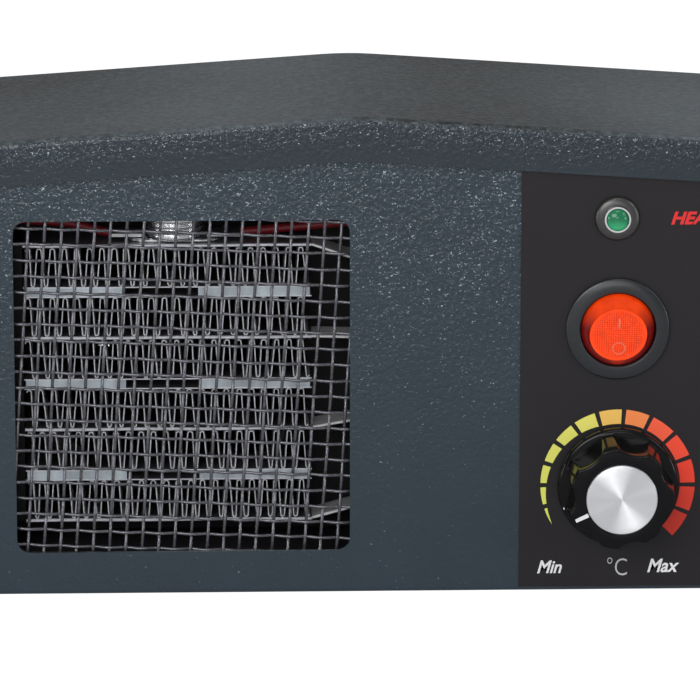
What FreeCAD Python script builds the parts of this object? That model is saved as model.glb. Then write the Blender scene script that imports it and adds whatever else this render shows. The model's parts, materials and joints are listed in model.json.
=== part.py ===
"""Compact ceramic (PTC) space heater: a folded sheet-steel case with a gabled hood, a woven
wire guard over the PTC fin stack on the left, and a black control label on the right that
carries a pilot lamp, a round rocker switch and a thermostat knob.

Millimetres.  While modelling, x runs to the right across the front, y runs backwards from the
face of the front wall, z runs up from the underside of the floor pan.  The finished parts are
moved so that the origin lies on the surface the feet stand on, centred in x and y.
"""

import FreeCAD
import Part

import math
import os

V = FreeCAD.Vector
TINY = 0.01

# ---- case --------------------------------------------------------------------------------
CASE_WIDTH = 200.0          # across the hood
CASE_DEPTH = 81.0           # face of the front wall to the hood's rear edge
RIDGE_HEIGHT = 120.0        # floor underside to where the two roof slopes would meet
ROOF_SLOPE = 0.067          # fall of the roof per millimetre away from the ridge
SHEET = 1.0                 # steel sheet
RIDGE_RADIUS = 100.0        # soft bend along the ridge
EAVE_RADIUS = 10.0          # bend between the roof and a side
FOLD_RADIUS = 1.8           # outer radius of the hood's turned-down edges
LIP_HEIGHT = 10.8           # turned-down front lip, below the roof
SIDE_LIP = 6.0              # the same lip where it runs down the sides
REAR_LIP_HEIGHT = 8.0
LIP_GAP = 0.35              # air between the lip and the front wall
CASE_FIT = 0.3              # gap between the hood and the sheets inside it
PAN_FLANGE = 12.0           # upstand round the floor pan
PAN_BEND = 1.2              # bend between the front wall and the floor

# ---- feet --------------------------------------------------------------------------------
FOOT_HEIGHT = 4.0
FOOT_TOP_R = 6.5
FOOT_BOTTOM_R = 5.5
FOOT_FRONT_Y = 25.0         # centre of the front feet, behind the front wall's face
FOOT_REAR_INSET = 19.0      # centre of the rear feet, ahead of the hood's rear edge
FOOT_SIDE_INSET = 20.0      # centre of a foot, in from the side
FOOT_SCREW_R = 1.75
FOOT_SCREW_HEAD_R = 3.0
FOOT_SCREW_HEAD = 1.6

# ---- screws ------------------------------------------------------------------------------
SCREW_R = 1.45
SCREW_HEAD_R = 2.9
SCREW_HEAD = 1.7
SCREW_LENGTH = 5.0
SCREW_FIT = 0.15            # radial room round a screw
SNUG_FIT = 0.05             # radial room between pieces that are pressed or screwed together

# ---- outlet opening and wire guard ---------------------------------------------------------
OUTLET_LEFT = 2.1           # the opening reaches past the PTC stack by these amounts
OUTLET_RIGHT = 9.2
OUTLET_BELOW = 5.4
OUTLET_ABOVE = 7.5
OUTLET_R = 3.2
WIRE = 0.55                 # guard wire
MESH_PITCH = 4.0
MESH_MARGIN = 5.0           # how far the guard reaches behind the front wall
MESH_SEAT = 0.05            # paint gap between the wall, the guard and its clamp
CLAMP_T = 1.0
CLAMP_INSET = 2.0           # the clamp's window is this much larger than the opening

# ---- air duct ------------------------------------------------------------------------------
DUCT_T = 0.8
DUCT_MARGIN_LEFT = 4.0      # duct walls stand outside the opening by these amounts
DUCT_MARGIN_RIGHT = 11.0    # room for the terminal blades
DUCT_MARGIN_Z = 1.5
DUCT_DEPTH = 32.0
DUCT_FLANGE = 3.0
GROMMET_HOLE_R = 3.5

# ---- PTC stack -----------------------------------------------------------------------------
STACK_LEFT = -81.3
STACK_W = 70.5
STACK_BOTTOM = 16.2
STACK_Y = 8.0               # front of the fins, behind the front wall's face
STACK_DEPTH = 15.0
ROWS = 6
ROW_H = 9.75
FIN_STRIP = 0.3
FIN_PERIOD = 2.9
PLATE_T = 1.0
STRIP_T = 0.3               # electrode strip on each face of a ceramic chip
CHIP_H = 2.1
CHIP_LEFT_L = 24.5
CHIP_RIGHT_L = 27.3
CHIP_INSET = 0.4
BLADE_T = 0.8
BLADE_DEPTH = 9.0
BLADE_SET_BACK = 0.6
BLADE_RAMP = 9.5            # sloping stretch of a terminal blade
BLADE_END_GAP = 3.0         # a blade stops this far from the duct wall
BLADE_RISES = [2.6, 1.7, -0.3, -3.3]
CARRIER_T = 4.0
CARRIER_LAP = 3.0           # the carrier's rim behind the stack's edge
CARRIER_FIT = 0.2

# ---- thermal cut-out -----------------------------------------------------------------------
CUTOUT_OFFSET_X = 1.8       # from the middle of the stack
CUTOUT_R = 8.0
CUTOUT_CAP_H = 3.0
CUTOUT_BODY_R = 6.8
CUTOUT_BODY_H = 5.0
CUTOUT_FLANGE_T = 0.6
CUTOUT_STRAP_L = 24.0
CUTOUT_STRAP_W = 10.0
CUTOUT_TAB_L = 8.0
CUTOUT_TAB_W = 6.3
CUTOUT_TAB_T = 0.8
TAB_LIFT = 0.3              # tabs above the mounting strap
LEAD_SEAT = 0.1             # air between a lead's end and its tab
LEAD_STEP = 10.0            # each lead climbs over this length next to its tab
LEAD_RISE = 2.7
LEAD_TOP_RISE = 3.4         # height of a lead above its tab where it reaches the duct wall
WIRE_R = 1.1                # insulated hook-up wire
WIRE_BEND = 12.0
WIRE_END_GAP = 4.0
WIRE_TAIL = 14.0            # how far the right-hand lead runs past the duct wall

# ---- fan -----------------------------------------------------------------------------------
FAN_SIZE = 80.0
FAN_DEPTH = 25.0
FAN_CORNER_R = 4.0
FAN_WALL = 2.0              # thinnest wall between the bore and the frame's flat side
FAN_HOLE_INSET = 4.25       # corner hole from each side of the frame
FAN_TIP_GAP = 1.0
FAN_HUB_R = 15.5
FAN_HUB_WALL = 1.2
FAN_HUB_DEPTH = 18.0
FAN_FRONT_GAP = 1.5         # hub face behind the front of the frame
FAN_BLADES = 7
FAN_BLADE_T = 1.4
FAN_BLADE_ANGLE = 38.0
FAN_BLADE_CHORD = 21.0
STATOR_R = 13.0
STATOR_PLATE_T = 2.5
STATOR_ARM_W = 4.0
FAN_SHAFT_R = 1.5
SHAFT_RUNNING = 0.05        # radial running clearance of every turning shaft

# ---- rear panels ---------------------------------------------------------------------------
PANEL_SPLIT_X = 20.0        # the inlet panel ends and the service cover starts here
PANEL_GAP = 0.4
SLOT_H = 3.0
SLOT_PITCH = 6.0
SLOT_ROWS = 12
SLOT_L = 34.0
SLOT_BRIDGE = 5.0           # web between the two columns of slots

# ---- control label -------------------------------------------------------------------------
LABEL_LEFT = 40.0
LABEL_T = 0.25
LABEL_EDGE = 1.2            # the label stays this far inside the front wall's edges

# ---- thermostat and knob -------------------------------------------------------------------
KNOB_X = 64.2
KNOB_Z = 27.3
KNOB_REST = 205.5           # pointer angle at the coldest setting, from +x
KNOB_GAP = 0.8              # skirt above the label
SKIRT_R = 14.9
SKIRT_T = 2.4
GRIP_BASE_R = 13.7
GRIP_FACE_R = 12.8
GRIP_DEPTH = 10.8
SCALLOPS = 7
SCALLOP_R = 7.5
SCALLOP_REACH = 1.4         # how deep a scallop bites at the face
CAP_R = 8.7
CAP_T = 0.8
CAP_PROUD = 0.4
SPINDLE_R = 3.0
SPINDLE_SOCKET = 6.0        # length of the spindle inside the knob
NUT_ROOM_R = 9.5
NUT_ROOM_DEPTH = 4.5
BUSH_R = 5.0
BUSH_OUT = 3.6
BUSH_FIT = 0.2
NUT_AF = 14.0
NUT_T = 2.2
THERMOSTAT_W = 34.0
THERMOSTAT_H = 28.0
THERMOSTAT_D = 28.0
SPINDLE_DEPTH = 8.0         # how far the spindle reaches into the thermostat
CAPILLARY_R = 0.8
BULB_R = 3.0
BULB_L = 45.0

# ---- rocker switch -------------------------------------------------------------------------
ROCKER_X = 63.7
ROCKER_Z = 66.8
ROCKER_BODY_R = 10.0        # body behind the wall, for a standard round hole
BEZEL_LAP = 2.7             # bezel round the body
BEZEL_T = 2.0
BEZEL_CHAMFER = 0.6
ROCKER_RIM = 0.75           # the mouth is this much inside the body's radius
ROCKER_WALL = 0.6
ROCKER_BODY_D = 14.0
ROCKER_CAVITY_D = 9.0
PANEL_HOLE_FIT = 0.15
ROCKER_PIVOT_Y = 1.0
BUTTON_GAP = 0.45           # widest part of the button inside the mouth
BUTTON_TAPER = 1.75         # the face is this much narrower than the base
ROCKER_FACE_OUT = 4.4       # face ahead of the pivot
ROCKER_TILT = 13.0          # either way from level
ROCKER_PIN_R = 1.0
ROCKER_TAIL = 3.0
ROCKER_TAIL_W = 12.0
ROCKER_TAIL_H = 9.0
TERMINAL_T = 0.8
TERMINAL_W = 4.8
TERMINAL_L = 8.0
TERMINAL_PITCH = 5.6

# ---- pilot lamp ----------------------------------------------------------------------------
LAMP_X = 63.3
LAMP_Z = 94.4
LAMP_FLANGE_R = 5.55
LAMP_FLANGE_T = 1.6
LAMP_RING_R = 3.2
LAMP_RING_T = 0.5
LAMP_LENS_R = 2.75
LAMP_DOME = 1.2
LAMP_BODY_R = 4.0
LAMP_BODY_L = 18.0

# ---- cable entry and terminals -------------------------------------------------------------
GLAND_X = 60.0
GLAND_Z = 24.0
GLAND_BORE_R = 3.6          # for a 7 mm round mains lead
GLAND_THREAD_R = 6.0
GLAND_FLANGE_R = 9.0
GLAND_FLANGE_T = 4.0
GLAND_DOME_R = 7.5
GLAND_DOME_L = 9.0
GLAND_IN = 7.0
GLAND_NUT_T = 3.0
BLOCK_W = 24.0
BLOCK_D = 14.0
BLOCK_H = 13.0
BLOCK_X = 30.0

# ---- places worked out from the sizes above ------------------------------------------------
HALF = CASE_WIDTH / 2.0
HOOD_FRONT = -(LIP_GAP + SHEET)
WALL_INSET = SHEET + CASE_FIT
INNER_HALF = HALF - WALL_INSET
PANEL_REAR = CASE_DEPTH - SHEET - CASE_FIT
PANEL_FRONT = PANEL_REAR - SHEET
STICK_H = CHIP_H + 2.0 * STRIP_T
STICKS = ROWS // 2
STACK_H = ROWS * ROW_H + STICKS * STICK_H + (STICKS + 1) * PLATE_T
STACK_TOP = STACK_BOTTOM + STACK_H
STACK_RIGHT = STACK_LEFT + STACK_W
STACK_REAR = STACK_Y + STACK_DEPTH
OUTLET_W = OUTLET_LEFT + STACK_W + OUTLET_RIGHT
OUTLET_H = OUTLET_BELOW + STACK_H + OUTLET_ABOVE
OUTLET_X = STACK_LEFT - OUTLET_LEFT + OUTLET_W / 2.0
OUTLET_Z = STACK_BOTTOM - OUTLET_BELOW + OUTLET_H / 2.0
MESH_FRONT = SHEET + MESH_SEAT
MESH_T = 2.0 * WIRE
CLAMP_FRONT = MESH_FRONT + MESH_T + MESH_SEAT
DUCT_FRONT = CLAMP_FRONT + CLAMP_T
DUCT_REAR = DUCT_FRONT + DUCT_DEPTH
DUCT_LEFT = OUTLET_X - OUTLET_W / 2.0 - DUCT_MARGIN_LEFT
DUCT_RIGHT = OUTLET_X + OUTLET_W / 2.0 + DUCT_MARGIN_RIGHT
DUCT_BOTTOM = OUTLET_Z - OUTLET_H / 2.0 - DUCT_MARGIN_Z
DUCT_TOP = OUTLET_Z + OUTLET_H / 2.0 + DUCT_MARGIN_Z
FAN_X = STACK_LEFT + STACK_W / 2.0
FAN_Z = STACK_BOTTOM + STACK_H / 2.0
FAN_BORE_R = FAN_SIZE / 2.0 - FAN_WALL
FAN_HOLE_PITCH = FAN_SIZE - 2.0 * FAN_HOLE_INSET
FAN_FRONT = DUCT_REAR
FAN_REAR = FAN_FRONT + FAN_DEPTH
CUTOUT_X = FAN_X + CUTOUT_OFFSET_X
CUTOUT_Y = STACK_REAR - CUTOUT_R - CARRIER_FIT
BEZEL_R = ROCKER_BODY_R + BEZEL_LAP
ROCKER_MOUTH_R = ROCKER_BODY_R - ROCKER_RIM
ROCKER_CAVITY_R = ROCKER_BODY_R - ROCKER_WALL
ROCKER_BASE_R = ROCKER_MOUTH_R - BUTTON_GAP
ROCKER_FACE_R = ROCKER_BASE_R - BUTTON_TAPER
KNOB_BACK = -(LABEL_T + KNOB_GAP)
KNOB_FRONT = KNOB_BACK - SKIRT_T - GRIP_DEPTH
CAP_FRONT = KNOB_FRONT - CAP_PROUD
GLAND_REACH = PANEL_REAR + GLAND_FLANGE_T + GLAND_DOME_L
SHIFT = V(0.0, -(CAP_FRONT + GLAND_REACH) / 2.0, FOOT_HEIGHT)


# ---- shape helpers -------------------------------------------------------------------------
def box(x0, x1, y0, y1, z0, z1):
    """Block between two opposite corners."""
    return Part.makeBox(x1 - x0, y1 - y0, z1 - z0, V(x0, y0, z0))


def rod_y(x, z, radius, y0, y1):
    """Cylinder along y."""
    return Part.makeCylinder(radius, y1 - y0, V(x, y0, z), V(0, 1, 0))


def cone_y(x, z, r0, r1, y0, y1):
    """Cone along y, radius r0 at y0 and r1 at y1."""
    return Part.makeCone(r0, r1, y1 - y0, V(x, y0, z), V(0, 1, 0))


def tube_y(x, z, outer, inner, y0, y1):
    """Ring along y."""
    return rod_y(x, z, outer, y0, y1).cut(rod_y(x, z, inner, y0 - 1.0, y1 + 1.0))


def rounded_wire(points, radii, closed):
    """Straight runs between points, each corner rounded by a tangent arc of its radius."""
    count = len(points)
    starts, ends, arcs = [], [], []
    for i, here in enumerate(points):
        radius = radii[i]
        if radius <= 0.0 or (not closed and i in (0, count - 1)):
            starts.append(here)
            ends.append(here)
            arcs.append(None)
            continue
        back = (points[i - 1] - here).normalize()
        ahead = (points[(i + 1) % count] - here).normalize()
        half = back.getAngle(ahead) / 2.0
        reach = radius / math.tan(half)
        bisector = (back + ahead).normalize()
        middle = here + bisector * (radius / math.sin(half) - radius)
        starts.append(here + back * reach)
        ends.append(here + ahead * reach)
        arcs.append(Part.Arc(starts[-1], middle, ends[-1]).toShape())
    edges = []
    for i in range(count):
        if arcs[i]:
            edges.append(arcs[i])
        if i < count - 1 or closed:
            a, b = ends[i], starts[(i + 1) % count]
            if (b - a).Length > 1e-6:
                edges.append(Part.LineSegment(a, b).toShape())
    return Part.Wire(edges)


def plate_xz(points, radii, y0, y1):
    """Closed outline in x and z, as (x, z) pairs, made a plate from y0 to y1."""
    wire = rounded_wire([V(x, y0, z) for x, z in points], radii, True)
    return Part.Face(wire).extrude(V(0, y1 - y0, 0))


def rounded_block(x0, x1, z0, z1, radius, y0, y1):
    """Plate with four equal round corners."""
    corners = [(x0, z0), (x1, z0), (x1, z1), (x0, z1)]
    return plate_xz(corners, [radius] * 4, y0, y1)


def gable(inset, drop, bottom, y0, y1):
    """The case's house-shaped section, inset at the sides and lowered under the roof."""
    half = HALF - inset
    slope_length = math.hypot(1.0, ROOF_SLOPE)
    apex = RIDGE_HEIGHT - drop * slope_length
    eave = apex - ROOF_SLOPE * half
    corners = [(-half, bottom), (half, bottom), (half, eave), (0.0, apex), (-half, eave)]
    bend = max(EAVE_RADIUS - min(inset, drop), 0.5)
    return plate_xz(corners, [0.0, 0.0, bend, RIDGE_RADIUS - drop, bend], y0, y1)


def round_edges(shape, radius, wanted):
    """Fillet the edges whose bounding box passes the test."""
    edges = [e for e in shape.Edges if wanted(e.BoundBox)]
    return shape.makeFillet(radius, edges)


def fuse(shapes):
    """One solid from touching or overlapping ones."""
    joined = shapes[0].fuse(shapes[1:]) if len(shapes) > 1 else shapes[0]
    return joined.removeSplitter()


def round_tube(points, radius, bend):
    """Round tube along straight runs joined by tangent arcs."""
    path = rounded_wire(points, [bend] * len(points), False)
    start = (points[1] - points[0]).normalize()
    ring = Part.Wire(Part.makeCircle(radius, points[0], start))
    return path.makePipeShell([ring], True, False)


def screw(tip, out, length=SCREW_LENGTH):
    """Pan-head screw: the head sits on tip and stands out along the direction out."""
    inward = V(-out.x, -out.y, -out.z)
    shank = Part.makeCylinder(SCREW_R, length, tip, inward)
    head = Part.makeCylinder(SCREW_HEAD_R, SCREW_HEAD, tip, out)
    crown = head.Edges[0] if head.Edges[0].BoundBox.Center.distanceToPoint(tip) > 1.0 else head.Edges[2]
    head = head.makeFillet(SCREW_HEAD * 0.6, [crown])
    return fuse([shank, head])


def hexagon_y(x, z, across, y0, y1):
    """Hexagonal prism along y."""
    radius = across / math.sqrt(3.0)
    points = [(x + radius * math.cos(math.radians(a)), z + radius * math.sin(math.radians(a)))
              for a in range(0, 360, 60)]
    return plate_xz(points, [0.0] * 6, y0, y1)


# ---- case ----------------------------------------------------------------------------------
def side_screw_places():
    """Hood screws: two on each side, through the hood into the pan's upstand."""
    z = SHEET + PAN_FLANGE * 0.55
    ys = [CASE_DEPTH * 0.22, CASE_DEPTH * 0.78]
    return [(side, y, z) for side in (-1, 1) for y in ys]


def make_hood():
    """Folded cover: roof and sides in one bent sheet, with edges turned in all round."""
    below = 5.0
    outer = gable(0.0, 0.0, -below, HOOD_FRONT, CASE_DEPTH)
    ends = (HOOD_FRONT, CASE_DEPTH)

    def at_end(limit):
        """Edges that lie in one end face, except the straight one along the bottom."""
        def wanted(b):
            flat = b.YLength < TINY and min(abs(b.YMin - end) for end in limit) < TINY
            return flat and b.ZMax > TINY - below
        return wanted

    outer = round_edges(outer, FOLD_RADIUS, at_end(ends))
    inner_ends = (HOOD_FRONT + SHEET, CASE_DEPTH - SHEET)
    inner = gable(SHEET, SHEET, -below - 1.0, *inner_ends)
    inner = round_edges(inner, FOLD_RADIUS - SHEET, at_end(inner_ends))
    shell = outer.cut(inner)
    front = gable(SIDE_LIP, LIP_HEIGHT, -below - 1.0, HOOD_FRONT - 1.0, HOOD_FRONT + SHEET + 1.0)
    rear = gable(SIDE_LIP, REAR_LIP_HEIGHT, -below - 1.0, CASE_DEPTH - SHEET - 1.0, CASE_DEPTH + 1.0)
    shell = shell.cut([front, rear])
    shell = shell.cut(box(-HALF - 1, HALF + 1, HOOD_FRONT - 1, CASE_DEPTH + 1, -below - 2, 0.0))
    for side, y, z in side_screw_places():
        start = V(side * (HALF - 2 * SHEET), y, z)
        shell = shell.cut(Part.makeCylinder(SCREW_R + SCREW_FIT, 4 * SHEET, start, V(side, 0, 0)))
    return shell


def make_chassis():
    """Front wall and floor in one bent sheet, with upstands at the sides and the rear."""
    rear = PANEL_FRONT - CASE_FIT
    wall = gable(WALL_INSET, WALL_INSET, 0.0, 0.0, SHEET)
    floor = box(-INNER_HALF, INNER_HALF, 0.0, rear, 0.0, SHEET)
    top = SHEET + PAN_FLANGE
    left = box(-INNER_HALF, -INNER_HALF + SHEET, SHEET, rear, 0.0, top)
    right = box(INNER_HALF - SHEET, INNER_HALF, SHEET, rear, 0.0, top)
    back = box(-INNER_HALF, INNER_HALF, rear - SHEET, rear, 0.0, top)
    pan = fuse([wall, floor, left, right, back])
    pan = round_edges(pan, PAN_BEND, lambda b: b.YMax < TINY and b.ZMax < TINY and b.XLength > HALF)
    cuts = [rounded_block(OUTLET_X - OUTLET_W / 2, OUTLET_X + OUTLET_W / 2, OUTLET_Z - OUTLET_H / 2,
                          OUTLET_Z + OUTLET_H / 2, OUTLET_R, -1.0, SHEET + 1.0)]
    cuts += [rod_y(ROCKER_X, ROCKER_Z, ROCKER_BODY_R + PANEL_HOLE_FIT, -1.0, SHEET + 1.0),
             rod_y(LAMP_X, LAMP_Z, LAMP_BODY_R + PANEL_HOLE_FIT, -1.0, SHEET + 1.0),
             rod_y(KNOB_X, KNOB_Z, BUSH_R + BUSH_FIT, -1.0, SHEET + 1.0)]
    for side, y, z in side_screw_places():
        start = V(side * (INNER_HALF - 2 * SHEET), y, z)
        cuts.append(Part.makeCylinder(SCREW_R + SCREW_FIT, 4 * SHEET, start, V(side, 0, 0)))
    for x, z in rear_screw_places():
        if z < top:
            cuts.append(rod_y(x, z, SCREW_R + SCREW_FIT, rear - 2 * SHEET, rear + 1.0))
    for x, y in foot_places():
        cuts.append(Part.makeCylinder(FOOT_SCREW_R + SCREW_FIT, 3 * SHEET, V(x, y, -SHEET)))
    return pan.cut(cuts)


def rear_panel_outline():
    """The rear wall as one sheet, before it is split into its two panels."""
    return gable(WALL_INSET, WALL_INSET, CASE_FIT, PANEL_FRONT, PANEL_REAR)


def rear_screw_places():
    """Screws of the rear panels, along the pan's rear upstand: two for each panel."""
    z = SHEET + PAN_FLANGE * 0.55
    inset = 12.0
    return [(-INNER_HALF + inset, z), (PANEL_SPLIT_X - inset, z),
            (PANEL_SPLIT_X + inset, z), (INNER_HALF - inset, z)]


def make_inlet_panel():
    """Left rear panel with two columns of air slots in front of the fan."""
    part = box(-HALF, PANEL_SPLIT_X - PANEL_GAP / 2, 0.0, CASE_DEPTH, -1.0, RIDGE_HEIGHT)
    panel = rear_panel_outline().common(part)
    cuts = []
    for column in (-1, 1):
        middle = FAN_X + column * (SLOT_L + SLOT_BRIDGE) / 2.0
        for row in range(SLOT_ROWS):
            z = FAN_Z + (row - (SLOT_ROWS - 1) / 2.0) * SLOT_PITCH
            cuts.append(rounded_block(middle - SLOT_L / 2, middle + SLOT_L / 2, z - SLOT_H / 2,
                                      z + SLOT_H / 2, SLOT_H * 0.499, PANEL_FRONT - 1, PANEL_REAR + 1))
    for x, z in rear_screw_places():
        cuts.append(rod_y(x, z, SCREW_R + SCREW_FIT, PANEL_FRONT - 1, PANEL_REAR + 1))
    return panel.cut(cuts)


def make_service_cover():
    """Right rear panel, which comes off for access to the terminals and holds the cable gland."""
    part = box(PANEL_SPLIT_X + PANEL_GAP / 2, HALF, 0.0, CASE_DEPTH, -1.0, RIDGE_HEIGHT)
    cover = rear_panel_outline().common(part)
    cuts = [rod_y(GLAND_X, GLAND_Z, GLAND_THREAD_R + SCREW_FIT, PANEL_FRONT - 1, PANEL_REAR + 1)]
    for x, z in rear_screw_places():
        cuts.append(rod_y(x, z, SCREW_R + SCREW_FIT, PANEL_FRONT - 1, PANEL_REAR + 1))
    return cover.cut(cuts)


def make_hood_screws():
    screws = [screw(V(side * HALF, y, z), V(side, 0, 0)) for side, y, z in side_screw_places()]
    return Part.makeCompound(screws)


def make_rear_screws():
    screws = [screw(V(x, PANEL_REAR, z), V(0, 1, 0)) for x, z in rear_screw_places()]
    return Part.makeCompound(screws)


def foot_places():
    """Centres of the four feet."""
    x = HALF - FOOT_SIDE_INSET
    return [(sx * x, y) for y in (FOOT_FRONT_Y, CASE_DEPTH - FOOT_REAR_INSET) for sx in (-1, 1)]


def make_foot(x, y):
    """Rubber foot with a recess for its screw."""
    body = Part.makeCone(FOOT_BOTTOM_R, FOOT_TOP_R, FOOT_HEIGHT, V(x, y, -FOOT_HEIGHT))
    recess = Part.makeCylinder(FOOT_SCREW_HEAD_R + SCREW_FIT, FOOT_HEIGHT / 2, V(x, y, -FOOT_HEIGHT))
    hole = Part.makeCylinder(FOOT_SCREW_R + SCREW_FIT, FOOT_HEIGHT, V(x, y, -FOOT_HEIGHT))
    return body.cut([recess, hole])


def make_foot_screws():
    screws = []
    for x, y in foot_places():
        seat = V(x, y, -FOOT_HEIGHT / 2)
        head = Part.makeCylinder(FOOT_SCREW_HEAD_R, FOOT_SCREW_HEAD, seat - V(0, 0, FOOT_SCREW_HEAD))
        shank = Part.makeCylinder(FOOT_SCREW_R, FOOT_HEIGHT / 2 + 4 * SHEET, seat)
        screws.append(fuse([head, shank]))
    return Part.makeCompound(screws)


def make_control_label():
    """Thin printed label that covers the right end of the front wall."""
    sheet = gable(WALL_INSET + LABEL_EDGE, WALL_INSET + LABEL_EDGE, LABEL_EDGE, -LABEL_T, 0.0)
    sheet = sheet.common(box(LABEL_LEFT, HALF, -1.0, 1.0, 0.0, RIDGE_HEIGHT))
    return sheet.cut([rod_y(ROCKER_X, ROCKER_Z, ROCKER_BODY_R + PANEL_HOLE_FIT, -1.0, 1.0),
                      rod_y(LAMP_X, LAMP_Z, LAMP_BODY_R + PANEL_HOLE_FIT, -1.0, 1.0),
                      rod_y(KNOB_X, KNOB_Z, BUSH_R + BUSH_FIT, -1.0, 1.0)])


# ---- wire guard and duct -------------------------------------------------------------------
def make_mesh_guard():
    """Square wire guard: a grid of wires at one pitch, closed by a solid edge strip."""
    x0, x1 = OUTLET_X - OUTLET_W / 2 - MESH_MARGIN, OUTLET_X + OUTLET_W / 2 + MESH_MARGIN
    z0, z1 = OUTLET_Z - OUTLET_H / 2 - MESH_MARGIN, OUTLET_Z + OUTLET_H / 2 + MESH_MARGIN
    y = MESH_FRONT

    def loop(a0, a1, c0, c1):
        return Part.makePolygon([V(a0, y, c0), V(a1, y, c0), V(a1, y, c1), V(a0, y, c1), V(a0, y, c0)])

    columns = int(OUTLET_W / MESH_PITCH)
    rows = int(OUTLET_H / MESH_PITCH)
    left = OUTLET_X - columns * MESH_PITCH / 2.0
    low = OUTLET_Z - rows * MESH_PITCH / 2.0
    gap = MESH_PITCH - WIRE
    wires = [loop(x0, x1, z0, z1)]
    for i in range(columns):
        for j in range(rows):
            a = left + i * MESH_PITCH + WIRE / 2
            c = low + j * MESH_PITCH + WIRE / 2
            wires.append(loop(a, a + gap, c, c + gap))
    face = Part.makeFace(wires, "Part::FaceMakerBullseye")
    return face.extrude(V(0, MESH_T, 0))


def make_mesh_clamp():
    """Flat frame that holds the edges of the guard against the front wall."""
    half_w, half_h = OUTLET_W / 2, OUTLET_H / 2
    outer = rounded_block(OUTLET_X - half_w - MESH_MARGIN, OUTLET_X + half_w + MESH_MARGIN,
                          OUTLET_Z - half_h - MESH_MARGIN, OUTLET_Z + half_h + MESH_MARGIN,
                          OUTLET_R, CLAMP_FRONT, CLAMP_FRONT + CLAMP_T)
    window = rounded_block(OUTLET_X - half_w - CLAMP_INSET, OUTLET_X + half_w + CLAMP_INSET,
                           OUTLET_Z - half_h - CLAMP_INSET / 2, OUTLET_Z + half_h + CLAMP_INSET / 2,
                           OUTLET_R, CLAMP_FRONT - 1, CLAMP_FRONT + CLAMP_T + 1)
    return outer.cut(window)


def fan_screw_places():
    """The fan's four corner holes."""
    half = FAN_HOLE_PITCH / 2.0
    return [(FAN_X + sx * half, FAN_Z + sz * half) for sx in (-1, 1) for sz in (-1, 1)]


def make_air_duct():
    """Sheet box from the guard's clamp to the fan, open at the front, round mouth at the rear."""
    body = box(DUCT_LEFT, DUCT_RIGHT, DUCT_FRONT, DUCT_REAR, DUCT_BOTTOM, DUCT_TOP)
    flange = box(DUCT_LEFT - DUCT_FLANGE, DUCT_RIGHT + DUCT_FLANGE, DUCT_FRONT, DUCT_FRONT + DUCT_T,
                 DUCT_BOTTOM - DUCT_FLANGE, DUCT_TOP + DUCT_FLANGE)
    hollow = box(DUCT_LEFT + DUCT_T, DUCT_RIGHT - DUCT_T, DUCT_FRONT - 1, DUCT_REAR - DUCT_T,
                 DUCT_BOTTOM + DUCT_T, DUCT_TOP - DUCT_T)
    duct = fuse([body, flange]).cut(hollow)
    cuts = [rod_y(FAN_X, FAN_Z, FAN_BORE_R, DUCT_REAR - 3 * DUCT_T, DUCT_REAR + 1)]
    for x, z in fan_screw_places():
        cuts.append(rod_y(x, z, SCREW_R + SCREW_FIT, DUCT_REAR - 3 * DUCT_T, DUCT_REAR + 1))
    grommet = V(DUCT_RIGHT - 2 * DUCT_T, CUTOUT_Y, grommet_z())
    cuts.append(Part.makeCylinder(GROMMET_HOLE_R, 4 * DUCT_T, grommet, V(1, 0, 0)))
    return duct.cut(cuts)


# ---- PTC stack -----------------------------------------------------------------------------
def stack_layers():
    """Bottom to top: (kind, number, lower z) of every plate, fin row and ceramic stick."""
    layers = []
    z = STACK_BOTTOM
    for pair in range(STICKS):
        layers.append(("plate", pair + 1, z))
        z += PLATE_T
        layers.append(("row", 2 * pair + 1, z))
        z += ROW_H
        layers.append(("stick", pair + 1, z))
        z += STICK_H
        layers.append(("row", 2 * pair + 2, z))
        z += ROW_H
    layers.append(("plate", STICKS + 1, z))
    return layers


def make_fin_row(z0):
    """Corrugated strip: upright legs joined by half-round crests, as deep as the stack."""
    half = FIN_PERIOD / 2.0
    legs = int((STACK_W - FIN_STRIP) / half)
    legs -= legs % 2
    first = STACK_LEFT + (STACK_W - legs * half) / 2.0
    reach = (half + FIN_STRIP) / 2.0
    return serpentine(first, half, legs, z0 + reach, z0 + ROW_H - reach)


def serpentine(first, half, legs, low, high):
    """Closed outline of the strip: one side out, the other side back, arcs at every crest."""
    t = FIN_STRIP / 2
    mid = half / 2.0

    def side_edges(offset):
        found = []
        for i in range(legs + 1):
            x = first + i * half + offset
            found.append(Part.LineSegment(V(x, STACK_Y, low), V(x, STACK_Y, high)).toShape())
            if i < legs:
                up = i % 2 == 0
                level = high if up else low
                turn = 1.0 if up else -1.0
                centre = first + i * half + mid
                radius = mid - offset
                # the strip's left side takes the outside of one crest and the inside of the next
                wide = V(centre, STACK_Y, level + turn * radius)
                start = V(centre - radius, STACK_Y, level)
                end = V(centre + radius, STACK_Y, level)
                found.append(Part.Arc(start, wide, end).toShape())
                offset = -offset
        return found

    near = side_edges(-t)
    far = side_edges(t)
    start_cap = Part.LineSegment(V(first - t, STACK_Y, low), V(first + t, STACK_Y, low)).toShape()
    last_x = first + legs * half
    last_z = high if legs % 2 == 0 else low
    end_cap = Part.LineSegment(V(last_x - t, STACK_Y, last_z), V(last_x + t, STACK_Y, last_z)).toShape()
    loops = Part.sortEdges(near + far + [start_cap, end_cap])
    return Part.Face(Part.Wire(loops[0])).extrude(V(0, STACK_DEPTH, 0))


def make_chip(z0, right):
    """Ceramic heating chip between two electrode strips."""
    z = z0 + STRIP_T
    if right:
        x1 = STACK_RIGHT - CHIP_INSET
        x0 = x1 - CHIP_RIGHT_L
    else:
        x0 = STACK_LEFT + CHIP_INSET
        x1 = x0 + CHIP_LEFT_L
    return box(x0, x1, STACK_Y, STACK_REAR, z, z + CHIP_H)


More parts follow.
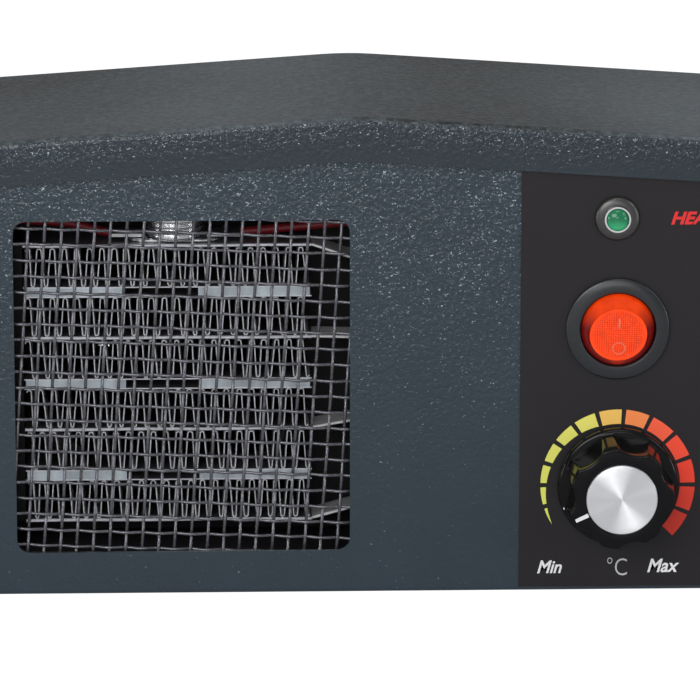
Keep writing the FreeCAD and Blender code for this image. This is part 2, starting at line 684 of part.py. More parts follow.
def make_electrodes(z0):
    """The two thin strips above and below a pair of chips."""
    low = box(STACK_LEFT, STACK_RIGHT, STACK_Y, STACK_REAR, z0, z0 + STRIP_T)
    top = z0 + STICK_H
    high = box(STACK_LEFT, STACK_RIGHT, STACK_Y, STACK_REAR, top - STRIP_T, top)
    return Part.makeCompound([low, high])


def make_contact_plate(z0, rise):
    """Clamping plate with a bent terminal blade at its right end."""
    plate = box(STACK_LEFT, STACK_RIGHT, STACK_Y, STACK_REAR, z0, z0 + PLATE_T)
    end = DUCT_RIGHT - DUCT_T - BLADE_END_GAP
    y = STACK_Y + BLADE_SET_BACK
    x0 = STACK_RIGHT
    bend = x0 + BLADE_RAMP
    outline = [V(x0, y, z0), V(bend, y, z0 + rise), V(end, y, z0 + rise), V(end, y, z0 + rise + BLADE_T),
               V(bend, y, z0 + rise + BLADE_T), V(x0, y, z0 + BLADE_T)]
    blade = Part.Face(Part.makePolygon(outline + [outline[0]])).extrude(V(0, BLADE_DEPTH, 0))
    return plate.fuse(blade)


def make_carrier():
    """Heat-resistant frame behind the stack, with a cheek along its left end."""
    y0, y1 = STACK_REAR + CARRIER_FIT / 2, STACK_REAR + CARRIER_T
    left, right = DUCT_LEFT + DUCT_T + CARRIER_FIT, DUCT_RIGHT - DUCT_T - CARRIER_FIT
    low, high = DUCT_BOTTOM + DUCT_T + CARRIER_FIT, DUCT_TOP - DUCT_T - CARRIER_FIT
    frame = box(left, right, y0, y1, low, high)
    window = box(STACK_LEFT + CARRIER_LAP, STACK_RIGHT - CARRIER_LAP, y0 - 1, y1 + 1,
                 STACK_BOTTOM + CARRIER_LAP, STACK_TOP - CARRIER_LAP)
    cheek = box(left, STACK_LEFT - CARRIER_FIT, STACK_Y + 2.0, y1, STACK_BOTTOM, STACK_TOP)
    return fuse([frame.cut(window), cheek])


# ---- thermal cut-out and wires -------------------------------------------------------------
def tab_z():
    """Underside of the cut-out's terminal tabs."""
    return STACK_TOP + CUTOUT_FLANGE_T + TAB_LIFT


def grommet_z():
    """Height at which the right-hand lead passes through the duct wall."""
    return tab_z() + CUTOUT_TAB_T / 2 + LEAD_TOP_RISE


def make_thermal_cutout():
    """Snap-disc cut-out: a mounting strap and a wide metal cap under a narrower moulded body."""
    strap_top = STACK_TOP + CUTOUT_FLANGE_T
    room = DUCT_TOP - DUCT_T - CARRIER_FIT - strap_top
    height = min(CUTOUT_CAP_H + CUTOUT_BODY_H, room)
    strap = box(CUTOUT_X - CUTOUT_STRAP_L / 2, CUTOUT_X + CUTOUT_STRAP_L / 2, CUTOUT_Y - CUTOUT_STRAP_W / 2,
                CUTOUT_Y + CUTOUT_STRAP_W / 2, STACK_TOP, strap_top)
    cap = Part.makeCylinder(CUTOUT_R, CUTOUT_CAP_H, V(CUTOUT_X, CUTOUT_Y, strap_top))
    body = Part.makeCylinder(CUTOUT_BODY_R, height, V(CUTOUT_X, CUTOUT_Y, strap_top))
    return fuse([strap, cap, body])


def make_cutout_terminals():
    tabs = []
    z = tab_z()
    for side in (-1, 1):
        a = CUTOUT_X + side * CUTOUT_R
        b = a + side * CUTOUT_TAB_L
        tabs.append(box(min(a, b), max(a, b), CUTOUT_Y - CUTOUT_TAB_W / 2, CUTOUT_Y + CUTOUT_TAB_W / 2,
                        z, z + CUTOUT_TAB_T))
    return Part.makeCompound(tabs)


def lead_start(side):
    """Point where a lead meets the end of its tab, at the left (-1) or right (1)."""
    x = CUTOUT_X + side * (CUTOUT_R + CUTOUT_TAB_L + LEAD_SEAT)
    return V(x, CUTOUT_Y, tab_z() + CUTOUT_TAB_T / 2)


def make_wire_left():
    """Red lead from the cut-out's left terminal up towards the left wall of the duct."""
    start = lead_start(-1)
    left = DUCT_LEFT + DUCT_T + WIRE_END_GAP
    points = [start, start + V(-LEAD_STEP, 0, LEAD_RISE), V(left, CUTOUT_Y, start.z + LEAD_TOP_RISE)]
    return round_tube(points, WIRE_R, WIRE_BEND)


def make_wire_right():
    """Red lead from the cut-out's right terminal up and out through the duct wall."""
    start = lead_start(1)
    tail = V(DUCT_RIGHT + WIRE_TAIL, CUTOUT_Y + 3.0, grommet_z() + 0.8)
    points = [start, start + V(LEAD_STEP, 0, LEAD_RISE / 3), V(DUCT_RIGHT, CUTOUT_Y, grommet_z()), tail]
    return round_tube(points, WIRE_R, WIRE_BEND)


# ---- fan -----------------------------------------------------------------------------------
def make_fan_frame():
    """Square fan frame with a round bore and corner holes."""
    half = FAN_SIZE / 2
    frame = rounded_block(FAN_X - half, FAN_X + half, FAN_Z - half, FAN_Z + half, FAN_CORNER_R,
                          FAN_FRONT, FAN_REAR)
    cuts = [rod_y(FAN_X, FAN_Z, FAN_BORE_R, FAN_FRONT - 1, FAN_REAR + 1)]
    for x, z in fan_screw_places():
        cuts.append(rod_y(x, z, SCREW_R + SCREW_FIT, FAN_FRONT - 1, FAN_REAR + 1))
    return frame.cut(cuts)


def make_fan_stator():
    """Motor plate on three arms, with the coil core and the bearing tube."""
    y0 = FAN_REAR - STATOR_PLATE_T
    plate = rod_y(FAN_X, FAN_Z, FAN_HUB_R, y0, FAN_REAR)
    arms = []
    for turn in range(3):
        arm = box(FAN_X, FAN_X + FAN_BORE_R, y0, FAN_REAR, FAN_Z - STATOR_ARM_W / 2,
                  FAN_Z + STATOR_ARM_W / 2)
        arm = arm.common(rod_y(FAN_X, FAN_Z, FAN_BORE_R, y0, FAN_REAR))
        arm.rotate(V(FAN_X, 0, FAN_Z), V(0, 1, 0), 30.0 + 120.0 * turn)
        arms.append(arm)
    core_front = FAN_FRONT + FAN_FRONT_GAP + FAN_HUB_WALL + 2.0
    core = rod_y(FAN_X, FAN_Z, STATOR_R, core_front, y0)
    stator = fuse([plate, core] + arms)
    bore = rod_y(FAN_X, FAN_Z, FAN_SHAFT_R + SHAFT_RUNNING, core_front - 1, FAN_REAR - 1.0)
    return stator.cut(bore)


def make_fan_impeller():
    """Hub cup on a steel shaft, with raked blades."""
    front = FAN_FRONT + FAN_FRONT_GAP
    rear = front + FAN_HUB_DEPTH
    cup = rod_y(FAN_X, FAN_Z, FAN_HUB_R, front, rear)
    cup = cup.cut(rod_y(FAN_X, FAN_Z, FAN_HUB_R - FAN_HUB_WALL, front + FAN_HUB_WALL, rear + 1))
    shaft = rod_y(FAN_X, FAN_Z, FAN_SHAFT_R, front + FAN_HUB_WALL / 2, FAN_REAR - STATOR_PLATE_T)
    tip = FAN_BORE_R - FAN_TIP_GAP
    ring = tube_y(FAN_X, FAN_Z, tip, FAN_HUB_R - FAN_HUB_WALL / 2, front, rear)
    pieces = [cup, shaft]
    middle = (front + rear) / 2
    for n in range(FAN_BLADES):
        blade = Part.makeBox(tip, FAN_BLADE_CHORD, FAN_BLADE_T, V(FAN_X, middle - FAN_BLADE_CHORD / 2,
                                                                   FAN_Z - FAN_BLADE_T / 2))
        blade.rotate(V(FAN_X, middle, FAN_Z), V(1, 0, 0), FAN_BLADE_ANGLE)
        blade.rotate(V(FAN_X, middle, FAN_Z), V(0, 1, 0), 360.0 * n / FAN_BLADES)
        pieces.append(blade.common(ring))
    return fuse(pieces)


def make_fan_screws():
    screws = []
    for x, z in fan_screw_places():
        tip = V(x, FAN_REAR, z)
        screws.append(screw(tip, V(0, 1, 0), FAN_DEPTH + DUCT_T + 2.0))
    return Part.makeCompound(screws)


# ---- thermostat and knob -------------------------------------------------------------------
def make_thermostat_body():
    """Thermostat behind the front wall with a threaded bush through it."""
    y0 = SHEET
    block = box(KNOB_X - THERMOSTAT_W / 2, KNOB_X + THERMOSTAT_W / 2, y0, y0 + THERMOSTAT_D,
                KNOB_Z - THERMOSTAT_H / 2 + 1.0, KNOB_Z + THERMOSTAT_H / 2 + 1.0)
    bush = rod_y(KNOB_X, KNOB_Z, BUSH_R, -LABEL_T - BUSH_OUT, y0 + 1.0)
    bore = rod_y(KNOB_X, KNOB_Z, SPINDLE_R + SHAFT_RUNNING, -LABEL_T - BUSH_OUT - 1,
                 SHEET + SPINDLE_DEPTH + 0.5)
    return fuse([block, bush]).cut(bore)


def make_thermostat_nut():
    y0 = -LABEL_T - NUT_T
    return hexagon_y(KNOB_X, KNOB_Z, NUT_AF, y0, -LABEL_T).cut(
        rod_y(KNOB_X, KNOB_Z, BUSH_R + SNUG_FIT, y0 - 1, 1.0))


def make_thermostat_spindle():
    socket_end = KNOB_BACK - NUT_ROOM_DEPTH - SPINDLE_SOCKET
    return rod_y(KNOB_X, KNOB_Z, SPINDLE_R, socket_end, SHEET + SPINDLE_DEPTH)


def make_knob():
    """Pointer knob: flat skirt, tapered scalloped grip and a recess for the cap."""
    skirt_front = KNOB_BACK - SKIRT_T
    skirt = rod_y(KNOB_X, KNOB_Z, SKIRT_R, skirt_front, KNOB_BACK)
    skirt = round_edges(skirt, 1.0, lambda b: b.YMax < skirt_front + TINY)
    grip = cone_y(KNOB_X, KNOB_Z, GRIP_FACE_R, GRIP_BASE_R, KNOB_FRONT, skirt_front + 0.2)
    cuts = []
    for n in range(SCALLOPS):
        # a lobe, not a scallop, lies under the pointer
        angle = math.radians(KNOB_REST + (n + 0.5) * 360.0 / SCALLOPS)
        reach = GRIP_FACE_R - SCALLOP_REACH + SCALLOP_R
        x, z = KNOB_X + reach * math.cos(angle), KNOB_Z + reach * math.sin(angle)
        cuts.append(rod_y(x, z, SCALLOP_R, KNOB_FRONT - 1, skirt_front))
    grip = grip.cut(cuts)
    knob = fuse([skirt, grip])
    nut_room = rod_y(KNOB_X, KNOB_Z, NUT_ROOM_R, KNOB_BACK - NUT_ROOM_DEPTH, KNOB_BACK + 1)
    socket_end = KNOB_BACK - NUT_ROOM_DEPTH - SPINDLE_SOCKET - 0.2
    socket = rod_y(KNOB_X, KNOB_Z, SPINDLE_R + SNUG_FIT, socket_end, KNOB_BACK)
    seat = rod_y(KNOB_X, KNOB_Z, CAP_R + SNUG_FIT, KNOB_FRONT - 1, KNOB_FRONT + CAP_T - CAP_PROUD)
    return knob.cut([nut_room, socket, seat])


def make_knob_cap():
    """Turned aluminium disc pressed into the knob's face."""
    disc = rod_y(KNOB_X, KNOB_Z, CAP_R, CAP_FRONT, CAP_FRONT + CAP_T)
    return round_edges(disc, 0.25, lambda b: b.YMax < CAP_FRONT + TINY)


def bulb_place():
    """Right end of the sensing bulb, in the inlet air behind the fan."""
    return V(FAN_X + FAN_BORE_R + 12.0, (FAN_REAR + PANEL_FRONT) / 2, FAN_Z + FAN_SIZE / 2 - 4.0)


def make_sensing_bulb():
    end = bulb_place()
    return Part.makeCylinder(BULB_R, BULB_L, end - V(BULB_L, 0, 0), V(1, 0, 0))


def make_capillary():
    """Fine copper tube from the thermostat to the bulb, with wide bends."""
    end = bulb_place()
    start = V(KNOB_X - 6.0, SHEET + THERMOSTAT_D, KNOB_Z + 8.0)
    points = [start, start + V(0, 14.0, 0), V(start.x - 14.0, end.y - 6.0, (start.z + end.z) / 2),
              end + V(16.0, 0, 0), end]
    return round_tube(points, CAPILLARY_R, 7.0)


# ---- rocker switch -------------------------------------------------------------------------
def make_rocker_housing():
    """Round switch body with a chamfered bezel and pivot holes."""
    back = -LABEL_T
    bezel = rod_y(ROCKER_X, ROCKER_Z, BEZEL_R, back - BEZEL_T, back)
    rim = [e for e in bezel.Edges if e.BoundBox.YMax < back - BEZEL_T + TINY]
    bezel = bezel.makeChamfer(BEZEL_CHAMFER, rim)
    body = rod_y(ROCKER_X, ROCKER_Z, ROCKER_BODY_R, back - 0.5, ROCKER_BODY_D)
    mouth = rod_y(ROCKER_X, ROCKER_Z, ROCKER_MOUTH_R, back - BEZEL_T - 1, back)
    cavity = rod_y(ROCKER_X, ROCKER_Z, ROCKER_CAVITY_R, back - 0.3, ROCKER_CAVITY_D)
    pivot = Part.makeCylinder(ROCKER_PIN_R + SHAFT_RUNNING, 2 * ROCKER_BODY_R + 2,
                              V(ROCKER_X - ROCKER_BODY_R - 1, ROCKER_PIVOT_Y, ROCKER_Z), V(1, 0, 0))
    slots = [box(x - TERMINAL_W / 2, x + TERMINAL_W / 2, ROCKER_BODY_D - 3, ROCKER_BODY_D + 1,
                 z - TERMINAL_T / 2, z + TERMINAL_T / 2) for x, z in terminal_places()]
    return fuse([bezel, body]).cut([mouth, cavity, pivot] + slots)


def terminal_places():
    """The switch's three terminal blades, one above the other."""
    return [(ROCKER_X, ROCKER_Z + n * TERMINAL_PITCH) for n in (-1, 0, 1)]


def make_rocker_terminals():
    blades = [box(x - TERMINAL_W / 2, x + TERMINAL_W / 2, ROCKER_BODY_D - 3, ROCKER_BODY_D + TERMINAL_L,
                  z - TERMINAL_T / 2, z + TERMINAL_T / 2) for x, z in terminal_places()]
    return Part.makeCompound(blades)


def make_rocker_button():
    """Tapered round button on a cross pin, tilted so that its lower edge is pressed in."""
    y = ROCKER_PIVOT_Y
    head = cone_y(ROCKER_X, ROCKER_Z, ROCKER_FACE_R, ROCKER_BASE_R, y - ROCKER_FACE_OUT, y)
    head = round_edges(head, 0.4, lambda b: b.YMax < y - ROCKER_FACE_OUT + TINY)
    tail = box(ROCKER_X - ROCKER_TAIL_W / 2, ROCKER_X + ROCKER_TAIL_W / 2, y - 0.5, y + ROCKER_TAIL,
               ROCKER_Z - ROCKER_TAIL_H / 2, ROCKER_Z + ROCKER_TAIL_H / 2)
    pin_half = (ROCKER_CAVITY_R + ROCKER_BODY_R) / 2
    pin = Part.makeCylinder(ROCKER_PIN_R, 2 * pin_half, V(ROCKER_X - pin_half, y, ROCKER_Z), V(1, 0, 0))
    button = fuse([head, tail, pin])
    button.rotate(V(ROCKER_X, y, ROCKER_Z), V(1, 0, 0), ROCKER_TILT)
    return button


# ---- pilot lamp ----------------------------------------------------------------------------
def make_lamp_flange():
    y0 = -LABEL_T - LAMP_FLANGE_T
    ring = tube_y(LAMP_X, LAMP_Z, LAMP_FLANGE_R, LAMP_RING_R + SNUG_FIT, y0, -LABEL_T)
    return round_edges(ring, LAMP_FLANGE_T * 0.5,
                       lambda b: b.YMax < y0 + TINY and b.XLength > 2 * LAMP_RING_R + 1)


def make_lamp_ring():
    y0 = -LABEL_T - LAMP_FLANGE_T - LAMP_RING_T
    return tube_y(LAMP_X, LAMP_Z, LAMP_RING_R, LAMP_LENS_R + SNUG_FIT, y0, -LABEL_T)


def make_lamp_lens():
    """Domed lens: a plug with a spherical cap."""
    y0 = -LABEL_T - LAMP_FLANGE_T
    radius = (LAMP_LENS_R ** 2 + LAMP_DOME ** 2) / (2 * LAMP_DOME)
    ball = Part.makeSphere(radius, V(LAMP_X, y0 - LAMP_DOME + radius, LAMP_Z))
    dome = ball.common(rod_y(LAMP_X, LAMP_Z, LAMP_LENS_R, y0 - 2 * LAMP_DOME, y0 + 0.2))
    return fuse([dome, rod_y(LAMP_X, LAMP_Z, LAMP_LENS_R, y0, -LABEL_T)])


def make_lamp_body():
    return rod_y(LAMP_X, LAMP_Z, LAMP_BODY_R, -LABEL_T, LAMP_BODY_L)


# ---- cable entry and terminals -------------------------------------------------------------
def make_cable_gland():
    """Cable gland: flange and domed cap outside, thread inside, bore for a round lead."""
    collar = hexagon_y(GLAND_X, GLAND_Z, 2 * GLAND_FLANGE_R, PANEL_REAR, PANEL_REAR + GLAND_FLANGE_T)
    dome = rod_y(GLAND_X, GLAND_Z, GLAND_DOME_R, PANEL_REAR + GLAND_FLANGE_T, GLAND_REACH)
    dome = round_edges(dome, GLAND_DOME_R - GLAND_BORE_R - 1.0, lambda b: b.YMin > GLAND_REACH - TINY)
    thread = rod_y(GLAND_X, GLAND_Z, GLAND_THREAD_R, PANEL_FRONT - GLAND_IN, PANEL_REAR)
    bore = rod_y(GLAND_X, GLAND_Z, GLAND_BORE_R, PANEL_FRONT - GLAND_IN - 1, GLAND_REACH + 1)
    return fuse([collar, dome, thread]).cut(bore)


def make_gland_nut():
    y1 = PANEL_FRONT
    nut = hexagon_y(GLAND_X, GLAND_Z, 2 * GLAND_FLANGE_R, y1 - GLAND_NUT_T, y1)
    return nut.cut(rod_y(GLAND_X, GLAND_Z, GLAND_THREAD_R + SNUG_FIT, y1 - GLAND_NUT_T - 1, y1 + 1))


def make_terminal_block():
    """Three-way screw terminal block on the floor."""
    y0 = CASE_DEPTH * 0.5
    block = box(BLOCK_X - BLOCK_W / 2, BLOCK_X + BLOCK_W / 2, y0, y0 + BLOCK_D, SHEET, SHEET + BLOCK_H)
    cuts = []
    for n in (-1, 0, 1):
        x = BLOCK_X + n * BLOCK_W / 3.0
        cuts.append(Part.makeCylinder(1.6, 5.0, V(x, y0 + BLOCK_D * 0.5, SHEET + BLOCK_H - 5.0 + TINY)))
        cuts.append(rod_y(x, SHEET + BLOCK_H * 0.35, 1.8, y0 - 1, y0 + BLOCK_D + 1))
    return block.cut(cuts)


# ---- all parts -----------------------------------------------------------------------------
def make_all():
    """Every part by name, in modelling coordinates."""
    parts = {
        "hood": make_hood(),
        "chassis": make_chassis(),
        "rear_inlet_panel": make_inlet_panel(),
        "rear_service_cover": make_service_cover(),
        "hood_screws": make_hood_screws(),
        "rear_screws": make_rear_screws(),
        "foot_screws": make_foot_screws(),
        "control_label": make_control_label(),
        "mesh_guard": make_mesh_guard(),
        "mesh_clamp": make_mesh_clamp(),
        "air_duct": make_air_duct(),
        "ptc_carrier": make_carrier(),
        "thermal_cutout": make_thermal_cutout(),
        "cutout_terminals": make_cutout_terminals(),
        "wire_left": make_wire_left(),
        "wire_right": make_wire_right(),
        "fan_frame": make_fan_frame(),
        "fan_stator": make_fan_stator(),
        "fan_impeller": make_fan_impeller(),
        "fan_screws": make_fan_screws(),
        "thermostat_body": make_thermostat_body(),
        "thermostat_nut": make_thermostat_nut(),
        "thermostat_spindle": make_thermostat_spindle(),
        "thermostat_knob": make_knob(),
        "knob_cap": make_knob_cap(),
        "sensing_bulb": make_sensing_bulb(),
        "capillary": make_capillary(),
        "rocker_housing": make_rocker_housing(),
        "rocker_terminals": make_rocker_terminals(),
        "rocker_button": make_rocker_button(),
        "lamp_flange": make_lamp_flange(),
        "lamp_ring": make_lamp_ring(),
        "lamp_lens": make_lamp_lens(),
        "lamp_body": make_lamp_body(),
        "cable_gland": make_cable_gland(),
        "gland_nut": make_gland_nut(),
        "terminal_block": make_terminal_block(),
    }
    for number, (x, y) in enumerate(foot_places(), 1):
        parts[f"foot_{number}"] = make_foot(x, y)
    for kind, number, z in stack_layers():
        if kind == "plate":
            parts[f"contact_plate_{number}"] = make_contact_plate(z, BLADE_RISES[number - 1])
        elif kind == "row":
            parts[f"fin_row_{number}"] = make_fin_row(z)
        else:
            parts[f"electrodes_{number}"] = make_electrodes(z)
            parts[f"chip_{number}_left"] = make_chip(z, False)
            parts[f"chip_{number}_right"] = make_chip(z, True)
    return parts


def main():
    os.makedirs("parts", exist_ok=True)
    for name, shape in make_all().items():
        placed = shape.copy()
        placed.translate(SHIFT)
        placed.exportStep(f"parts/{name}.step")
        print(name, len(placed.Solids), round(placed.Volume, 1), placed.isValid())


main()
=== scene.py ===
# %% Load the frame
import json
import math

import bmesh
import bpy
import numpy as np
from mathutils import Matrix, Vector


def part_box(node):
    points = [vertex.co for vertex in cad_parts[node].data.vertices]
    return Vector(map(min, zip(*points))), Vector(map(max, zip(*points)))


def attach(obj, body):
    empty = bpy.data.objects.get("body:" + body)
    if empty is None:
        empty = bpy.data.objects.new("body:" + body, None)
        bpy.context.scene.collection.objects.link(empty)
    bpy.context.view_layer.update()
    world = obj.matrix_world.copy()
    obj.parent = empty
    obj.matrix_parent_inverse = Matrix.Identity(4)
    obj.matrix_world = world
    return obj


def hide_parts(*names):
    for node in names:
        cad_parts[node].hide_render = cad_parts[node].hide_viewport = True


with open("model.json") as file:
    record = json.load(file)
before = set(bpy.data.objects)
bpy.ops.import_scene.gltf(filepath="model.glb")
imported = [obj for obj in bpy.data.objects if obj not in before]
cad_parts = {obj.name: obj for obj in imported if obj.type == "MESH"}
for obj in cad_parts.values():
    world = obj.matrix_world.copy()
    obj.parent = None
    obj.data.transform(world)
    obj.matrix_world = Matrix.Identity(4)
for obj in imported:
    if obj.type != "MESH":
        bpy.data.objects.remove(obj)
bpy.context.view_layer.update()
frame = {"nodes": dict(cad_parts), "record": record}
record = frame["record"]

# %% [markdown]
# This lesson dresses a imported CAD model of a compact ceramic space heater.  The CAD parts are the
# frame: a folded steel case, a PTC heating stack behind a wire guard, and a black control label with
# a pilot lamp, a rocker switch and a thermostat knob.  Sheet-metal parts keep their CAD shape and get
# a finish.  Parts whose look depends on small curved detail, such as woven wire, corrugated fins,
# the knob and the switch button, are worked out again here as numpy surfaces in the same places.

# %% Units and places taken from the frame
MM = 0.001


def corners(node):
    """Lowest and highest corner of a CAD node, as numpy arrays in metres."""
    low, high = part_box(node)
    return np.array(low, float), np.array(high, float)


def centre(node):
    """Middle of a CAD node's box."""
    low, high = corners(node)
    return (low + high) / 2.0


WALL_Y = corners("control_label")[1][1]
LABEL_Y = corners("control_label")[0][1]
FLOOR_Z = corners("chassis")[0][2]
KNOB = centre("knob_cap")
ROCKER = centre("rocker_housing")
LAMP = centre("lamp_ring")
print("front wall at y", round(WALL_Y, 5), "floor pan at z", round(FLOOR_Z, 5))

# %% [markdown]
# Most pieces below are grids: a shape is a function of two parameters, worked out for the whole grid at
# once, and the grid's cells become quads.  One helper turns such a grid into a mesh.  It can close the grid
# round its columns, and it can cap open ends, so that every shell is closed and its faces point outwards.

# %% Grid helper


def grid_quads(rows, cols, close_cols=False):
    """Four vertex numbers for each cell of a rows x cols grid; its columns may join end to end."""
    r = np.arange(rows - 1)
    c = np.arange(cols if close_cols else cols - 1)
    r, c = [a.ravel() for a in np.meshgrid(r, c, indexing="ij")]
    r2, c2 = r + 1, (c + 1) % cols
    return np.stack([r * cols + c, r * cols + c2, r2 * cols + c2, r2 * cols + c], axis=1)


def merge_grids(parts):
    """One vertex array and one face list from several (vertices, faces) pairs."""
    verts, faces, base = [], [], 0
    for v, f in parts:
        verts.append(v)
        faces += [tuple(int(i) + base for i in face) for face in f]
        base += len(v)
    return np.concatenate(verts), faces


def closed_grid(points, caps=True):
    """A grid of points (rows, cols, 3) as a tube: columns closed, both ends capped by one face."""
    rows, cols = points.shape[:2]
    faces = [tuple(q) for q in grid_quads(rows, cols, close_cols=True)]
    if caps:
        first = tuple(range(cols))
        last = tuple(range((rows - 1) * cols, rows * cols))
        faces += [first[::-1], last]
    return points.reshape(-1, 3), faces


def circle(sides):
    """Angles of the given number of equal steps round a full turn."""
    return np.linspace(0.0, 2.0 * math.pi, sides, endpoint=False)


def lathe(radius, depth, middle, sides):
    """Closed surface of revolution about a front-to-back axis: x = middle x + radius * cos a,
    z = middle z + radius * sin a, y = depth.  The radius may itself change with the angle."""
    a = circle(sides)
    radius = radius if radius.ndim == 2 else radius[:, None]
    x = middle[0] + radius * np.cos(a)[None, :]
    z = middle[2] + radius * np.sin(a)[None, :]
    y = np.broadcast_to(depth[:, None], x.shape)
    return closed_grid(np.stack([x, y, z], axis=2))


def outward(mesh):
    """Turn the faces of a closed mesh outwards."""
    bm = bmesh.new()
    bm.from_mesh(mesh)
    bmesh.ops.remove_doubles(bm, verts=bm.verts, dist=1e-7)
    bmesh.ops.recalc_face_normals(bm, faces=bm.faces)
    bm.to_mesh(mesh)
    bm.free()


def mesh_spots(mesh):
    """A mesh's vertex places as an array (vertices, 3)."""
    spots = np.zeros(len(mesh.vertices) * 3)
    mesh.vertices.foreach_get("co", spots)
    return spots.reshape(-1, 3)


def piece(name, verts, faces, body, finish, replaces=(), slot=None, smooth=True, angle=35.0):
    """A named object at the origin from vertices in metres, riding on a body, with its finish."""
    mesh = bpy.data.meshes.new(name)
    mesh.from_pydata(np.asarray(verts, float).tolist(), [], [tuple(map(int, f)) for f in faces])
    outward(mesh)
    if smooth:
        mesh.shade_smooth()
        mesh.set_sharp_from_angle(angle=math.radians(angle))
    obj = bpy.data.objects.new(name, mesh)
    bpy.context.scene.collection.objects.link(obj)
    mesh.materials.append(finish)
    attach(obj, body)
    if replaces:
        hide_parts(*replaces)
    print(name, len(mesh.polygons), "faces")
    return obj


# %% [markdown]
# Finishes come next, because every piece needs one.  Each is a node tree on Object coordinates in metres.
# Effects that several finishes share are node groups: flecks, partly the flake's own colour and partly
# painted glints, and bumps for the hammertone powder coat, a fine grain for moulded plastic, streaks for
# rolled or drawn metal, and dust that lies on upward faces.

# %% Node helpers


def put(tree, kind, settings=None, **inputs):
    """Add a node, set its properties, and fill its inputs with values or sockets."""
    node = tree.nodes.new(kind)
    for key, value in (settings or {}).items():
        setattr(node, key, value)
    for key, value in inputs.items():
        numbered = key[0] == "i" and key[1:].isdigit()
        socket = node.inputs[int(key[1:])] if numbered else node.inputs[key]
        if isinstance(value, bpy.types.NodeSocket):
            tree.links.new(value, socket)
        else:
            socket.default_value = value
    return node


def maths(tree, operation, a, b=0.0, clamp=False, extra=None):
    """One Math node's result; extra is the third input, which MULTIPLY_ADD adds."""
    third = {} if extra is None else {"i2": extra}
    settings = {"operation": operation, "use_clamp": clamp}
    return put(tree, "ShaderNodeMath", settings, i0=a, i1=b, **third).outputs[0]


def vector_maths(tree, operation, a, b):
    """One Vector Math node."""
    return put(tree, "ShaderNodeVectorMath", {"operation": operation}, i0=a, i1=b)


def ramp(tree, value, start, end, first=0.0, last=1.0, kind="LINEAR"):
    """Map Range: first up to the start, last from the end on, and in between along a line."""
    return put(tree, "ShaderNodeMapRange", {"interpolation_type": kind},
               i0=value, i1=start, i2=end, i3=first, i4=last).outputs[0]


def noise(tree, place, scale, detail, distortion=0.0):
    """A Noise texture's value, from 0 to 1."""
    return put(tree, "ShaderNodeTexNoise", Vector=place, Scale=scale, Detail=detail,
               Distortion=distortion).outputs["Fac"]


def object_place(tree):
    """Object coordinates, in metres."""
    return put(tree, "ShaderNodeTexCoord").outputs["Object"]


def split(tree, vector):
    """X, Y and Z of a vector socket."""
    return put(tree, "ShaderNodeSeparateXYZ", Vector=vector).outputs


def facing(tree, axis):
    """How far the surface faces along an axis, from -1 to 1."""
    return split(tree, put(tree, "ShaderNodeNewGeometry").outputs["Normal"])[axis]


def blend_colour(tree, factor, a, b):
    """Mix two colours, given as sockets or as red, green and blue, by a factor."""
    a, b = [(*c, 1.0) if isinstance(c, tuple) else c for c in (a, b)]
    return put(tree, "ShaderNodeMix", {"data_type": "RGBA"}, i0=factor, i6=a, i7=b).outputs[2]


def new_group(name, inputs, outputs):
    """Empty shader node group with float inputs (name, default) and float outputs."""
    tree = bpy.data.node_groups.new(name, "ShaderNodeTree")
    for label, default in inputs:
        socket = tree.interface.new_socket(label, in_out="INPUT", socket_type="NodeSocketFloat")
        socket.default_value = default
    for label in outputs:
        tree.interface.new_socket(label, in_out="OUTPUT", socket_type="NodeSocketFloat")
    return tree, tree.nodes.new("NodeGroupInput"), tree.nodes.new("NodeGroupOutput")


def use_group(tree, group, **inputs):
    """Place a node group in a material with its own values, and give its outputs."""
    return put(tree, "ShaderNodeGroup", {"node_tree": group}, **inputs).outputs


# %% [markdown]
# Hammertone is a powder coat that wrinkles as it cures: a lumpy skin with metal flake in it.  It could be
# sculpted, which would take millions of faces, so one noise lifts the surface in a bump and a second, cut
# off at a threshold, marks light flecks in the base colour, which are partly the flake's own colour and
# partly painted glints where light catches the lumps.  The effect is a node group because the hood and the
# front wall use it with different values.

# %% Hammertone effect


def give(tree, end, results):
    """Link a group's results to its named outputs."""
    for label, socket in results.items():
        tree.links.new(socket, end.inputs[label])
    return tree


def make_hammer_group():
    """Height is a lumpy noise times a gain that grows with Density.  GlintFleck is 1 where a second noise
    passes a threshold that falls as Density grows, so flecks are small ragged streaks: partly the flake's
    own colour and partly painted glints.  Mottle is a slow noise, and it makes the flecks patchy."""
    tree, start, end = new_group("hammer_paint", [("Scale", 850.0), ("Density", 0.3)],
                                 ["Height", "GlintFleck", "Mottle"])
    place = object_place(tree)
    scale, density = start.outputs["Scale"], start.outputs["Density"]
    lumps = noise(tree, place, scale, 1.5, 0.5)
    gain = maths(tree, "MULTIPLY_ADD", density, 0.6, extra=0.24)
    slow = noise(tree, place, maths(tree, "MULTIPLY", scale, 0.09), 3.0)
    drawn = vector_maths(tree, "MULTIPLY", place, (0.8, 1.0, 1.2)).outputs[0]
    streaks = noise(tree, drawn, maths(tree, "MULTIPLY", scale, 2.3), 1.0, 1.0)
    patchy = maths(tree, "MULTIPLY", density, maths(tree, "ADD", slow, 0.5))
    level = maths(tree, "SUBTRACT", 0.758, maths(tree, "MULTIPLY", patchy, 0.113))
    # Light flecks: partly the flake's own colour, partly painted glints.
    glint_fleck = maths(tree, "MULTIPLY", maths(tree, "SUBTRACT", streaks, level), 11.0, True)
    return give(tree, end, {"Height": maths(tree, "MULTIPLY", lumps, gain), "GlintFleck": glint_fleck, "Mottle": slow})


# %% [markdown]
# Three more effects are shared.  Moulded plastic has a fine grain from its mould, rolled and drawn
# metal has marks along one direction, and dust settles on faces that look up.

# %% Grain, streaks and dust


